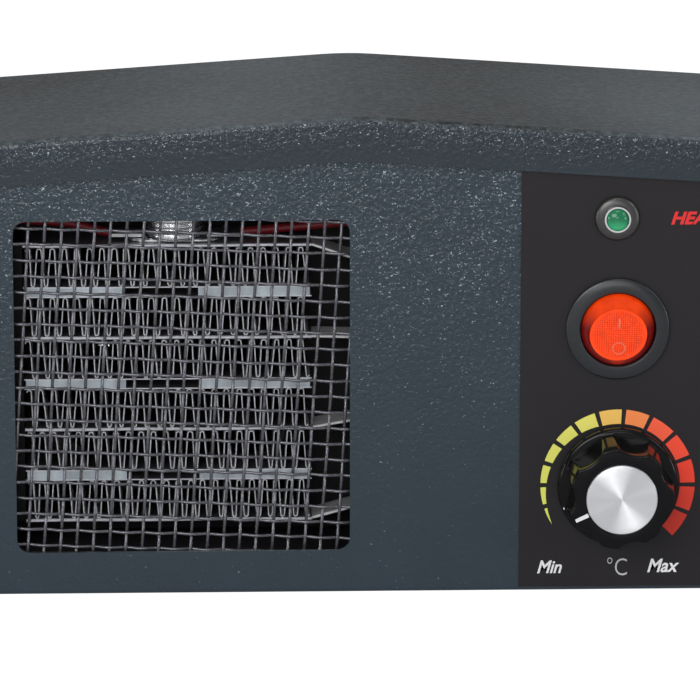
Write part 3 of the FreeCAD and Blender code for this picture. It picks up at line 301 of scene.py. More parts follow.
def make_grain_group():
    """Height is a fine noise at the given scale, and Mottle a slow one at three hundredths of it."""
    tree, start, end = new_group("fine_grain", [("Scale", 2500.0)], ["Height", "Mottle"])
    place = object_place(tree)
    scale = start.outputs["Scale"]
    fine = noise(tree, place, scale, 4.0)
    slow = noise(tree, place, maths(tree, "MULTIPLY", scale, 0.03), 3.0)
    return give(tree, end, {"Height": fine, "Mottle": slow})


def make_streak_group():
    """Rolling or drawing marks: noise squeezed along the three axes by its own factors."""
    names = [("Along X", 1.0), ("Along Y", 1.0), ("Along Z", 1.0), ("Scale", 400.0)]
    tree, start, end = new_group("metal_streaks", names, ["Streak"])
    along = start.outputs
    factors = put(tree, "ShaderNodeCombineXYZ", i0=along[0], i1=along[1], i2=along[2]).outputs[0]
    squeezed = vector_maths(tree, "MULTIPLY", object_place(tree), factors).outputs[0]
    return give(tree, end, {"Streak": noise(tree, squeezed, along["Scale"], 4.0)})


def make_dust_group():
    """Dust: where the surface faces up, broken by noise."""
    tree, start, end = new_group("dust_on_top", [("Amount", 0.2)], ["Dust"])
    broken = noise(tree, object_place(tree), 90.0, 6.0)
    lying = maths(tree, "MULTIPLY", facing(tree, "Z"), broken, True)
    return give(tree, end, {"Dust": maths(tree, "MULTIPLY", lying, start.outputs["Amount"], True)})


HAMMER, GRAIN = make_hammer_group(), make_grain_group()
STREAKS, DUST = make_streak_group(), make_dust_group()
print("groups", [g.name for g in bpy.data.node_groups])

# %% [markdown]
# Every finish has one Principled shader of its own.  What is the same all over is set on the shader's
# socket, and what changes over the surface is linked to it.

# %% Finish helpers


def new_finish(name, colour, rough, metal=0.0, specular=0.5):
    """Material with a Principled shader; its constant values are set on the shader itself."""
    material = bpy.data.materials.new(name)
    material.use_nodes = True
    tree = material.node_tree
    shader = tree.nodes["Principled BSDF"]
    shader.inputs["Base Color"].default_value = (*colour, 1.0)
    shader.inputs["Roughness"].default_value = rough
    shader.inputs["Metallic"].default_value = metal
    shader.inputs["Specular IOR Level"].default_value = specular
    return material, tree, shader


def add_bump(tree, shader, height, strength, distance):
    """Bump from a height socket."""
    bump = put(tree, "ShaderNodeBump", Strength=strength, Distance=distance, Height=height)
    tree.links.new(bump.outputs["Normal"], shader.inputs["Normal"])


def vary(tree, shader, factor, dark, light):
    """Base colour that runs from dark to light with a factor."""
    tree.links.new(blend_colour(tree, factor, dark, light), shader.inputs["Base Color"])


def vary_rough(tree, shader, factor, low, high):
    """Roughness from low to high with a factor."""
    tree.links.new(ramp(tree, factor, 0.0, 1.0, low, high), shader.inputs["Roughness"])


def shade(colour, factor):
    """A colour made darker or lighter."""
    return tuple(min(1.0, c * factor) for c in colour)


# %% [markdown]
# Plastic and metal make up most of the heater.  Plastic is one colour with a fine grain, a slight
# mottle and a breath of dust.  Metal keeps the marks of how it was made, so its streaks run along the
# direction in which that piece was rolled, drawn or turned.

# %% Plastic and metal


def moulded(name, colour, rough, grain=2500.0, bump=0.15, specular=0.5):
    """Moulded plastic or rubber: fine grain, slight mottle and a little dust on top."""
    material, tree, shader = new_finish(name, colour, rough, 0.0, specular)
    fine = use_group(tree, GRAIN, Scale=grain)
    dust = use_group(tree, DUST, Amount=0.05)
    base = blend_colour(tree, fine["Mottle"], shade(colour, 0.85), shade(colour, 1.15))
    vary(tree, shader, dust["Dust"], base, (0.35, 0.34, 0.32))
    vary_rough(tree, shader, fine["Mottle"], rough * 0.85, rough * 1.15)
    add_bump(tree, shader, fine["Height"], bump, 0.05 * MM)
    return material


def worked_metal(name, colour, rough, along, scale=400.0, metal=1.0, contrast=0.25, bump=0.2):
    """Rolled, drawn or cut metal: streaks squeezed along its own directions."""
    material, tree, shader = new_finish(name, colour, rough, metal)
    streak = use_group(tree, STREAKS, i0=along[0], i1=along[1], i2=along[2], Scale=scale)["Streak"]
    vary(tree, shader, streak, shade(colour, 1.0 - contrast), shade(colour, 1.0 + contrast))
    vary_rough(tree, shader, streak, rough * 0.7, rough * 1.3)
    add_bump(tree, shader, streak, bump, 0.05 * MM)
    return material


# %% [markdown]
# The paint's look is not even.  Towards the top of the front the bump grows and the light flecks thicken,
# thinning out near the floor; there the flecks are painted glints, where light from above catches the lumps.
# The roof is smoother, and its upward faces take a much lighter colour painted on as sheen, a painted
# reflection of the room, broken by soft clouds and crossed by a broad painted band.  Heights and the way a
# face looks are enough to tell these places apart, so one material serves every panel, and nothing has to be
# painted by hand.

# %% Case paint
PAINT = (0.022, 0.036, 0.049)
# FLECK_GLINT is the light colour of the flecks: partly the flake's own colour, partly painted glints.
FLECK_GLINT = (0.38, 0.44, 0.48)
# ROOF_SHEEN_TINT is the lighter colour painted on upward faces as sheen, a painted reflection of the room.
ROOF_SHEEN_TINT = (0.17, 0.20, 0.22)
ROOF_SHEEN_WAVE = 0.115                                # metres from one broad painted sheen band to the next


def hammertone(name, colour, low, high, fall):
    """Blue-grey hammertone powder coat.  Flecks, partly painted glints, thicken from low to high, two values
    of the height z + fall * |x|, so they can follow the roof line.  Upward faces carry a painted sheen
    instead, 0.22 + 0.3 * cloud + 0.22 * cos(2 pi x / ROOF_SHEEN_WAVE + 1.3) + 0.35 * grain, from near black
    to the roof's sheen tint."""
    material, tree, shader = new_finish(name, colour, 0.30, 0.0, 0.45)
    place = object_place(tree)
    axes = split(tree, place)
    across = maths(tree, "MULTIPLY", maths(tree, "ABSOLUTE", axes["X"]), fall)
    climb = ramp(tree, maths(tree, "ADD", axes["Z"], across), low, high, kind="SMOOTHSTEP")
    wall = ramp(tree, facing(tree, "Z"), 0.45, 0.8, 1.0, 0.0)
    on_roof = maths(tree, "MULTIPLY", maths(tree, "SUBTRACT", 1.0, wall), 0.8)
    density = maths(tree, "ADD", maths(tree, "MULTIPLY", climb, wall), on_roof)
    hammer = use_group(tree, HAMMER, Scale=850.0, Density=density)
    base = blend_colour(tree, hammer["Mottle"], shade(colour, 0.88), shade(colour, 1.12))
    # Flecks on the wall colour: partly flake, partly painted glints, thickening with height where light from
    # above catches them.
    glint_flecked = blend_colour(tree, hammer["GlintFleck"], base, FLECK_GLINT)
    # Upward faces: painted sheen from near black to the sheen tint, broken by clouds and grain and crossed
    # by a broad painted band.
    cloud = ramp(tree, noise(tree, place, 11.0, 2.0), 0.3, 0.7)
    grain = ramp(tree, noise(tree, place, 620.0, 3.0), 0.42, 0.72)
    sheen_wave = maths(tree, "COSINE", maths(tree, "MULTIPLY_ADD", axes["X"], 2 * math.pi / ROOF_SHEEN_WAVE, extra=1.3))
    broad = maths(tree, "ADD", maths(tree, "MULTIPLY", cloud, 0.3), maths(tree, "MULTIPLY", sheen_wave, 0.22))
    fine = maths(tree, "MULTIPLY", grain, 0.35)
    roof = blend_colour(tree, maths(tree, "ADD", maths(tree, "ADD", broad, 0.22), fine, True),
                        shade(colour, 0.1), ROOF_SHEEN_TINT)
    coat = blend_colour(tree, wall, roof, glint_flecked)
    vary(tree, shader, use_group(tree, DUST, Amount=0.08)["Dust"], coat, (0.3, 0.3, 0.28))
    add_bump(tree, shader, hammer["Height"], 1.0, 0.45 * MM)
    return material


# %% [markdown]
# Two more finishes paint in light and shade that travel inside or fall between pieces.  The switch button
# and the lamp's lens are clear colour with painted light and a painted glow where light would enter, and a
# deeper colour as painted shade where a face is turned away.  Scattering it properly would be slow and would
# be lost in an exported model, so the colour follows the way a face looks.  The plates in the stack keep
# their bright metal only on their cut front edges; their broad faces, in shade between the rows, are painted
# dark as painted shade.

# %% Painted light on plastic and painted shade on plates
# Depths below the button's face over which its grooves take painted shade.
GROOVE_FLOOR, GROOVE_LIP, FACE_SKIN = -0.22 * MM, -0.13 * MM, -0.02 * MM


def painted_light_plastic(name, bright, deep, glow, plane=None, rough=0.3, upper=(0.05, 0.6)):
    """Translucent coloured moulding with painted light and shade: faces turned up past the upper range take
    the bright colour and faces turned down the deep one, and the colour also glows at the glow strength as a
    painted glow.  With a plane (point, normal), what lies close to it is bright, and grooves cut below it
    are a little darker, painted shade in the grooves."""
    material, tree, shader = new_finish(name, bright, rough, 0.0, 0.4)
    share = ramp(tree, facing(tree, "Z"), *upper, 0.0, 0.8)
    place = object_place(tree)
    if plane:
        point, normal = [tuple(float(c) for c in vector) for vector in plane]
        off = vector_maths(tree, "SUBTRACT", place, point).outputs[0]
        ahead = vector_maths(tree, "DOT_PRODUCT", off, normal).outputs["Value"]
        near = ramp(tree, ahead, GROOVE_FLOOR, GROOVE_LIP)
        cut = ramp(tree, ahead, GROOVE_LIP, FACE_SKIN, 0.55)
        share = maths(tree, "MAXIMUM", share, maths(tree, "MULTIPLY", near, cut))
    clear = ramp(tree, noise(tree, place, 420.0, 2.0), 0.25, 0.6, 0.8, 1.0)
    colour = blend_colour(tree, maths(tree, "MULTIPLY", share, clear), deep, bright)
    for label in ("Base Color", "Emission Color"):
        tree.links.new(colour, shader.inputs[label])
    # The same colour is emitted too: a painted glow.
    shader.inputs["Emission Strength"].default_value = glow
    return material


def faces_in_painted_shade(material, dark):
    """Sheet whose cut front edges keep the metal's colour while every face turned away from the front is
    painted the dark colour: painted shade on the broad faces, which lie hidden from the light between the
    rows.
    """
    tree = material.node_tree
    shader = tree.nodes["Principled BSDF"]
    source = shader.inputs["Base Color"].links[0].from_socket
    edge = ramp(tree, facing(tree, "Y"), -0.7, -0.3, 1.0, 0.0)
    vary(tree, shader, edge, dark, source)
    return material


# %% [markdown]
# The record gives every CAD node a slot name for its finish.  One table from slot to finish therefore
# dresses the whole frame, and the new pieces below take their finishes from the same table.

# %% Finishes by the record's slot names
HOOD_TOP = corners("hood")[1][2]
ROOF_FALL = 0.067                                # how much the roof drops for each unit to the side
ALL_WAYS = (1.0, 1.0, 1.0)                       # streaks with no direction of their own
FINISH = {
    # The hood takes a darker copy of the case paint, 0.72 of it, as painted shade, seen mostly on its front
    # lip.
    "hood_paint": hammertone("hood_shaded_hammertone", shade(PAINT, 0.72), HOOD_TOP - 11 * MM,
                             HOOD_TOP - 2.5 * MM, ROOF_FALL),
    "case_paint": hammertone("case_hammertone", PAINT, FLOOR_Z + 12 * MM, FLOOR_Z + 104 * MM, 0.0),
    "label_black": moulded("label_film", (0.0125, 0.0105, 0.0125), 0.5, 1400.0, 0.45, 0.3),
    "zinc_steel": worked_metal("zinc_plate", (0.55, 0.56, 0.57), 0.35, ALL_WAYS),
    "mesh_steel": worked_metal("guard_wire", (0.13, 0.13, 0.145), 0.25, ALL_WAYS, 1300.0,
                               metal=0.7, contrast=0.75, bump=2.2),
    "duct_black": moulded("duct_black", (0.003, 0.003, 0.005), 0.8, 1500.0, 0.1, 0.1),
    "fin_aluminium": worked_metal("fin_strip", (0.76, 0.77, 0.83), 0.42, (1.0, 0.1, 1.0), 900.0, 0.8, 0.3),
    # The plates' broad faces are painted dark grey as painted shade.
    "plate_aluminium": faces_in_painted_shade(
        worked_metal("plate_strip", (0.7, 0.71, 0.76), 0.42, (0.2, 1.0, 1.0), 500.0, 0.8),
        (0.16, 0.16, 0.17)),
    "ptc_ceramic": worked_metal("chip_electrode", (0.48, 0.54, 0.64), 0.35, (1.0, 1.0, 0.3), 210.0,
                                metal=0.5, contrast=0.75),
    "black_moulding": moulded("black_moulding", (0.005, 0.005, 0.006), 0.6, 2500.0, 0.15, 0.2),
    "red_insulation": moulded("silicone_red", (0.2, 0.004, 0.012), 0.45),
    "copper": worked_metal("bare_copper", (0.72, 0.4, 0.22), 0.3, (0.2, 1.0, 1.0)),
    "knob_black": moulded("knob_phenolic", (0.002, 0.002, 0.0028), 0.12, 1800.0, 0.02, 0.22),
    "gloss_black": moulded("gloss_black", (0.009, 0.011, 0.014), 0.28, 2500.0, 0.04, 0.6),
    "spun_aluminium": worked_metal("spun_plain", (0.8, 0.81, 0.84), 0.3, ALL_WAYS),
    # The switch button is painted lighter on upper walls and deeper below as painted shade, with a painted
    # glow.
    "rocker_orange": painted_light_plastic("rocker_orange", (1.0, 0.062, 0.002), (0.20, 0.004, 0.002), 0.2),
    "chrome": worked_metal("plated_ring", (0.8, 0.8, 0.81), 0.12, ALL_WAYS),
    # The lens is painted brighter green on faces turned down, painted light from inside the lamp, darker
    # above, with a faint painted glow.
    "green_lens": painted_light_plastic("lens_green_painted_light", (0.004, 0.085, 0.035), (0.05, 0.46, 0.20), 0.02,
                              rough=0.12, upper=(-0.55, 0.0)),
    "lamp_black": moulded("lamp_black", (0.010, 0.009, 0.008), 0.38, 2500.0, 0.04, 1.0),
    "foot_rubber": moulded("foot_rubber", (0.015, 0.015, 0.015), 0.8, 1500.0, 0.4),
    "block_white": moulded("ivory_nylon", (0.68, 0.66, 0.58), 0.45),
    "brass": worked_metal("brass", (0.72, 0.55, 0.26), 0.3, ALL_WAYS),
}
SLOT = {sub["node"]: sub["material_slot"] for sub in record["subparts"]}
for node, slot in SLOT.items():
    data = frame["nodes"][node].data
    data.materials.clear()
    data.materials.append(FINISH[slot])
print(len(FINISH), "finishes on", len(SLOT), "nodes")

# %% [markdown]
# The guard over the outlet is plain-woven steel wire: each wire passes over one crossing wire and
# under the next.  A flat plate with holes looks wrong in raking light, because the bright spots sit
# on the crowns of the weave, so every wire is its own crimped tube.  The cloth was cut slightly out
# of true, which is why the upright wires lean.

# %% Woven wire guard
WIRE_R = 0.38 * MM
MESH_PITCH = 4.0 * MM
WARP_LEAN = math.tan(math.radians(3.7))
WEFT_FALL = math.tan(math.radians(2.2))
MESH_START = np.array([-79.6, 92.35]) * MM       # one crossing: x, and z above the floor pan
WIRE_STEPS = 140
LEAST_STEPS = 12                                 # a shorter corner piece of wire is left out


def tube_grid(path, radius, sides):
    """Tube round a path (n, 3) that runs roughly straight: each ring lies in the plane across the
    path's direction, centre + radius * (cos a * side + sin a * up)."""
    step = np.gradient(path, axis=0)
    step /= np.linalg.norm(step, axis=1, keepdims=True)
    pole = np.array([0.0, 1.0, 0.0]) if abs(step[0, 1]) < 0.9 else np.array([1.0, 0.0, 0.0])
    side = np.cross(step, pole)
    side /= np.linalg.norm(side, axis=1, keepdims=True)
    up = np.cross(side, step)
    a = circle(sides)
    ring = np.cos(a)[None, :, None] * side[:, None, :] + np.sin(a)[None, :, None] * up[:, None, :]
    return path[:, None, :] + radius * ring


def guard_wire(index, upright, low, high, seed):
    """Centre line of one wire.  Along its length t it swings across the cloth's middle plane as
    amplitude * cos(pi * t / pitch), with the sign changing from wire to wire, and wanders a little."""
    cross = WIRE_R * 1.02
    rng = np.random.default_rng(seed)
    phase, wander = rng.uniform(0, 2 * math.pi), rng.uniform(0.04, 0.12) * MM
    x0, z0 = MESH_START[0], MESH_START[1] + FLOOR_Z
    y0 = low[1] + 2.0 * WIRE_R
    if upright:
        z = np.linspace(low[2], high[2], WIRE_STEPS)
        x = x0 + index * MESH_PITCH + (z - z0) * WARP_LEAN + wander * np.sin(z / (9 * MM) + phase)
        t = z - z0 + (x - x0) * WEFT_FALL
        y = y0 + cross * np.cos(math.pi * t / MESH_PITCH) * (-1) ** index
    else:
        x = np.linspace(low[0], high[0], WIRE_STEPS)
        z = z0 + index * MESH_PITCH - (x - x0) * WEFT_FALL + wander * np.sin(x / (11 * MM) + phase)
        t = x - x0 - (z - z0) * WARP_LEAN
        y = y0 - cross * np.cos(math.pi * t / MESH_PITCH) * (-1) ** index
    path = np.stack([x, y, z], axis=1)
    inside = (x > low[0]) & (x < high[0]) & (z > low[2]) & (z < high[2])
    inside[[0, -1]] = False
    return path[inside]


def make_guard():
    """All wires of the guard as one piece."""
    low, high = corners("mesh_guard")
    edge = WIRE_R * 1.1
    low, high = low + [edge, 0, edge], high - [edge, 0, edge]
    parts = []
    for index in range(-6, 26):
        for upright in (True, False):
            shift = index if upright else -index
            path = guard_wire(shift, upright, low, high, 100 + 2 * index + upright)
            if len(path) > LEAST_STEPS:
                parts.append(closed_grid(tube_grid(path, WIRE_R, 6)))
    verts, faces = merge_grids(parts)
    return piece("woven_guard", verts, faces, "case", FINISH["mesh_steel"], ["mesh_guard"],
                 "mesh_steel", angle=60)


make_guard()

# %% [markdown]
# Each fin row is one strip of aluminium folded to and fro.  The real folds are not equal: crests are
# rounder than roots, legs slant, and the pitch wanders.  The strip's centre line is built from an arc
# at every fold, and the straight legs appear by themselves between one arc's end and the next arc's
# start.  The strip's thickness and depth are then a rectangle carried along that line.

# %% Corrugated fins
FIN_T = 0.3 * MM
FIN_PERIOD = 2.92 * MM


def fold_line(x0, x1, z0, z1, seed):
    """Centre line of a folded strip in x and z: half circles at the folds, low and high in turn."""
    rng = np.random.default_rng(seed)
    folds = 2 * int((x1 - x0) / FIN_PERIOD)
    places = np.linspace(x0, x1, folds + 1)[:-1] + (x1 - x0) / folds / 2.0
    places = places + rng.uniform(-0.16, 0.16, folds) * MM
    high = np.arange(folds) % 2 == 0
    radius = np.where(high, 0.53, 0.44) * MM + rng.uniform(-0.1, 0.08, folds) * MM
    sweep = np.linspace(math.pi, 0.0, 9)
    turn = np.where(high, 1.0, -1.0)
    inset = FIN_T / 2.0 + rng.uniform(0.0, 0.05, folds) * MM
    level = np.where(high, z1 - radius - inset, z0 + radius + inset)
    x = places[:, None] + radius[:, None] * np.cos(sweep)[None, :]
    z = level[:, None] + turn[:, None] * radius[:, None] * np.sin(sweep)[None, :]
    return np.stack([x.ravel(), z.ravel()], axis=1)


def strip_grid(line, thickness, y0, y1):
    """Rectangle carried along a line in x and z: four corners, half the thickness to each side of the
    line and from y0 to y1 deep, with the front and rear edges slightly rounded."""
    step = np.gradient(line, axis=0)
    step /= np.linalg.norm(step, axis=1, keepdims=True)
    side = np.stack([-step[:, 1], step[:, 0]], axis=1)
    round_off = thickness * 0.25
    offsets = np.array([-0.5, -0.25, 0.25, 0.5, 0.5, 0.25, -0.25, -0.5]) * thickness
    depths = np.array([y0 + round_off, y0, y0, y0 + round_off, y1 - round_off, y1, y1, y1 - round_off])
    x = line[:, None, 0] + offsets[None, :] * side[:, None, 0]
    z = line[:, None, 1] + offsets[None, :] * side[:, None, 1]
    y = np.broadcast_to(depths, x.shape)
    return np.stack([x, y, z], axis=2)


for row in range(1, 7):
    node = f"fin_row_{row}"
    low, high = corners(node)
    line = fold_line(low[0], high[0], low[2], high[2], 40 + row)
    verts, faces = closed_grid(strip_grid(line, FIN_T, low[1], high[1]))
    piece(f"folded_fins_{row}", verts, faces, "case", FINISH["fin_aluminium"], [node], "fin_aluminium")

# %% [markdown]
# The plates between the rows are thin strips that end in terminal blades.  They are not quite flat,
# and their front edges catch the light, so each is a rectangle carried along a slightly wavy line that
# runs through the stack and bends up or down into its blade.

# %% Clamping plates and blades
STACK_RIGHT = corners("electrodes_1")[1][0]
BLADE_RISES = (2.6, 1.7, -0.3, -3.3)             # how far each blade bends up or down, lowest plate first
RAMP_LENGTH = 9.5 * MM
PLATE_T, PLATE_SHEET, BLADE_SHEET = 1.0 * MM, 0.8 * MM, 0.7 * MM
BLADE_FRONT, BLADE_REAR = 0.6 * MM, 9.6 * MM     # a blade's edges behind the front of its plate


def plate_line(low, high, rise, seed):
    """Centre line of a plate: level with a small ripple, then an S-shaped ramp of the given rise."""
    rng = np.random.default_rng(seed)
    x = np.concatenate([np.linspace(low[0], STACK_RIGHT, 60), np.linspace(STACK_RIGHT, high[0], 24)[1:]])
    climb = np.clip((x - STACK_RIGHT) / RAMP_LENGTH, 0.0, 1.0)
    base = low[2] if rise >= 0 else high[2] - PLATE_T
    ripple = 0.06 * MM * np.sin(x / (5.5 * MM) + rng.uniform(0, 6)) * (x < STACK_RIGHT)
    z = base + PLATE_T / 2.0 + ripple + rise * climb
    return np.stack([x, z], axis=1)


BLADE_METAL = worked_metal("blade_metal", (0.86, 0.86, 0.88), 0.42, (0.2, 1.0, 1.0), 500.0, 0.7)
for number, rise in enumerate(BLADE_RISES, 1):
    node = f"contact_plate_{number}"
    low, high = corners(node)
    line = plate_line(low, high, rise * MM, 70 + number)
    flat = int(np.sum(line[:, 0] <= STACK_RIGHT + 1e-9))
    plate = closed_grid(strip_grid(line[:flat], PLATE_SHEET, low[1], high[1]))
    blade = closed_grid(strip_grid(line[flat - 2:], BLADE_SHEET, low[1] + BLADE_FRONT, low[1] + BLADE_REAR))
    piece(f"clamp_plate_{number}", *plate, "case", FINISH["plate_aluminium"], [node], "plate_aluminium")
    piece(f"blade_{number}", *blade, "case", BLADE_METAL, (), "plate_aluminium")

# %% [markdown]
# Above the stack sits a snap-disc cut-out: a pressed metal can with rolled ribs on a mounting strap.
# The ribs catch the light as stacked bright bands, so the can is a profile turned round an upright
# axis, and the strap is a thin slab with rounded ends made from the same kind of loop.

# %% Thermal cut-out can
RIB_PITCH = 1.36 * MM
STRAP_T = 0.6 * MM
STRAP_END = 5.0 * MM                             # radius of the strap's rounded ends
STRAP_SIDES = 48


def turned(radius, height, middle, sides=64):
    """Surface of revolution about an upright axis from arrays of radius and height, in metres."""
    a = circle(sides)
    x = middle[0] + radius[:, None] * np.cos(a)[None, :]
    y = middle[1] + radius[:, None] * np.sin(a)[None, :]
    z = np.broadcast_to(height[:, None], x.shape)
    return closed_grid(np.stack([x, y, z], axis=2))


def make_cutout():
    """Ribbed can: radius = 7.55 + 0.35 * cos(2 pi z / rib pitch) mm, on a rounded strap 0.6 mm thick."""
    low, high = corners("thermal_cutout")
    middle = (low[:2] + high[:2]) / 2.0
    strap_top = low[2] + STRAP_T
    z = np.linspace(strap_top, high[2], 60)
    radius = (7.55 + 0.35 * np.cos(2 * math.pi * (z - strap_top - 0.5 * MM) / RIB_PITCH)) * MM
    hub = [0.1 * MM]
    can = turned(np.concatenate([hub, radius, hub]), np.concatenate([z[:1], z, z[-1:]]), middle)
    a = circle(STRAP_SIDES)
    straight = (high[0] - low[0]) / 2.0 - STRAP_END
    loop = np.stack([np.sign(np.cos(a)) * straight + STRAP_END * np.cos(a), STRAP_END * np.sin(a)], axis=1)
    levels = np.array([low[2], low[2] + 0.1 * MM, strap_top - 0.1 * MM, strap_top])
    shrink = np.array([0.985, 1.0, 1.0, 0.985])
    flat = middle + loop[None, :, :] * shrink[:, None, None]
    heights = np.broadcast_to(levels[:, None, None], (len(levels), STRAP_SIDES, 1))
    strap = closed_grid(np.concatenate([flat, heights], axis=2))
    verts, faces = merge_grids([can, strap])
    can_metal = worked_metal("plated_can", (0.92, 0.93, 0.95), 0.25, ALL_WAYS, 300.0, 1.0, 0.06, 0.02)
    return piece("cutout_can", verts, faces, "case", can_metal, ["thermal_cutout"], "zinc_steel")


make_cutout()

# %% [markdown]
# The fan behind the stack has a cup-shaped hub and seven wide, swept blades.  Seen from the front they
# almost close the bore, and that is why the gaps between the fins look black.  Each blade is a thin
# slab over a grid of radius and chord: the chord runs round the hub while it climbs along the axis.

# %% Fan impeller
FAN_BLADES = 7
HUB_R = 15.5 * MM
HUB_LAP = 0.4 * MM                               # how deep a blade's root goes into the hub
BLADE_CHORD = math.radians(66.0)
BLADE_SWEEP = 0.22
BLADE_HALF = 0.65 * MM
HUB_PROFILE = np.array([[0.1, 0.0], [13.8, 0.0], [14.9, 0.3], [15.5, 1.2], [15.5, 17.6], [15.3, 18.0],
                        [14.3, 18.0], [14.3, 1.2], [4.2, 1.2], [4.2, 12.0], [3.0, 12.0], [3.0, 1.2],
                        [0.1, 1.2]]) * MM        # radius, and depth behind the impeller's front


def make_impeller():
    """Blade: at share u from hub to tip and v along the chord, the angle is start + sweep * u^2 + chord
    * (v - 0.5), and the depth climbs from front to rear with v, flattened a little by a camber."""
    low, high = corners("fan_impeller")
    middle = (low + high) / 2.0
    tip, root = (high[0] - low[0]) / 2.0, HUB_R - HUB_LAP
    front, rear = low[1] + 1.0 * MM, high[1] - 1.0 * MM
    u, v = np.meshgrid(np.linspace(0, 1, 14), np.linspace(0, 1, 16), indexing="ij")
    parts = []
    for k in range(FAN_BLADES):
        radius = root + (tip - root) * u
        angle = 2 * math.pi * k / FAN_BLADES + BLADE_SWEEP * u ** 2 + BLADE_CHORD * (v - 0.5)
        depth = front + (rear - front) * (v + 0.10 * np.sin(math.pi * v))
        half = BLADE_HALF * np.sqrt(np.clip(1 - (2 * v - 1) ** 4, 0.05, 1))
        x, z = middle[0] + radius * np.cos(angle), middle[2] + radius * np.sin(angle)
        front_sheet, rear_sheet = [np.stack([x, depth + side * half, z], axis=2) for side in (-1.0, 1.0)]
        parts.append(closed_grid(np.concatenate([front_sheet, rear_sheet[:, ::-1]], axis=1)))
    parts.append(lathe(HUB_PROFILE[:, 0], low[1] + HUB_PROFILE[:, 1], middle, 72))
    verts, faces = merge_grids(parts)
    return piece("swept_impeller", verts, faces, "impeller", FINISH["black_moulding"], ["fan_impeller"],
                 "black_moulding")


make_impeller()

# %% [markdown]
# The switch housing has a broad, slightly conical bezel with a rolled rim that draws a thin highlight,
# and a round mouth in which the button rocks.  The pilot lamp's flange is a glossy dome.  Both are
# profiles turned round a front-to-back axis: each row of a profile is a radius and a distance ahead
# of the front wall in millimetres.

# %% Bezel and lamp flange


ON_LABEL = 0.26                                  # mm ahead of the wall, just clear of the label
MOUTH_R, MOUTH_FLOOR = 9.25, -6.0
RIM_ROUND = 0.55
RIM_DROP = 0.8                                   # the cone falls this far from the mouth to the rim
LAMP_HOLE_R = 3.2


def turned_ahead(profile, middle, sides):
    """Surface of revolution from rows of radius and distance ahead of the wall, in millimetres."""
    profile = np.asarray(profile, float) * MM
    return lathe(profile[:, 0], WALL_Y - profile[:, 1], middle, sides)


def make_bezel():
    """Cone from the mouth out to a quarter-round rim, a flange on the wall and the body behind it."""
    low, high = corners("rocker_housing")
    rim, ahead, back = (high[0] - low[0]) / 2.0 / MM, (WALL_Y - low[1]) / MM, (WALL_Y - high[1]) / MM
    inner = [[0.1, MOUTH_FLOOR], [MOUTH_R, MOUTH_FLOOR], [MOUTH_R, ahead - 0.3],
             [MOUTH_R + 0.07, ahead - 0.08], [MOUTH_R + 0.25, ahead]]
    t = np.linspace(0.15, math.pi / 2, 7)
    edge = np.stack([rim - RIM_ROUND + RIM_ROUND * np.sin(t),
                     ahead - RIM_DROP - RIM_ROUND + RIM_ROUND * np.cos(t)], axis=1).tolist()
    outer = [[rim, ON_LABEL], [10.0, ON_LABEL], [9.98, back], [0.1, back]]
    verts, faces = turned_ahead(inner + edge + outer, ROCKER, 96)
    return piece("switch_bezel", verts, faces, "case", FINISH["gloss_black"], ["rocker_housing"],
                 SLOT["rocker_housing"], angle=50)


def make_flange():
    """Dome: ahead = base + rise * sqrt(1 - share * share), from the ring out to the edge.  The profile
    is a closed loop, so its last ring is joined to its first and the caps are left out."""
    low, high = corners("lamp_flange")
    rim, ahead = (high[0] - low[0]) / 2.0 / MM, (WALL_Y - low[1]) / MM
    share = np.linspace(0.0, 1.0, 9)
    inner, base, sides = LAMP_HOLE_R + 0.1, 0.6, 72
    dome = np.stack([inner + (rim - inner) * share,
                     base + (ahead - base - 0.05) * np.sqrt(1 - share ** 2)], axis=1)
    profile = [[LAMP_HOLE_R, ON_LABEL], [LAMP_HOLE_R, ahead - 0.1]] + dome.tolist() + [[rim, ON_LABEL]]
    verts, faces = turned_ahead(profile + [profile[0]], LAMP, sides)
    count = len(profile) * sides
    joined = [tuple(i % count for i in face) for face in faces if len(face) == 4]
    return piece("lamp_dome", verts[:count], joined, "case", FINISH["lamp_black"], ["lamp_flange"],
                 SLOT["lamp_flange"], angle=50)


make_bezel()
make_flange()

# %% [markdown]
# The switch button is a shallow cone with a textured face.  A square grid squashed to a disc gives a
# face whose grid of grooves stays square, and the cone's side is a few more rings round it.  The whole
# button is worked out level and then tilted about its cross pin, as it stands when switched off.

# %% Rocker button
ROCKER_TILT = math.radians(13.0)
FACE_R = 7.05 * MM
SKIRT_R = 8.95 * MM
SKIRT_Y = WALL_Y - 1.2 * MM
FACE_OUT = 4.4 * MM
GRID_PITCH = 0.56 * MM
GROOVE = 0.12 * MM
FACE_STEPS = 161
EDGE_ROUND = 0.2 * MM
PIVOT = np.array([ROCKER[0], WALL_Y + 1.0 * MM, ROCKER[2]])


def tilt(points):
    """Turn points (local x, height above the pivot towards the front, local z) to the resting tilt."""
    x, out, z = points[..., 0], points[..., 1], points[..., 2]
    c, s = math.cos(ROCKER_TILT), math.sin(ROCKER_TILT)
    return np.stack([PIVOT[0] + x, PIVOT[1] - out * c - z * s, PIVOT[2] + z * c - out * s], axis=-1)


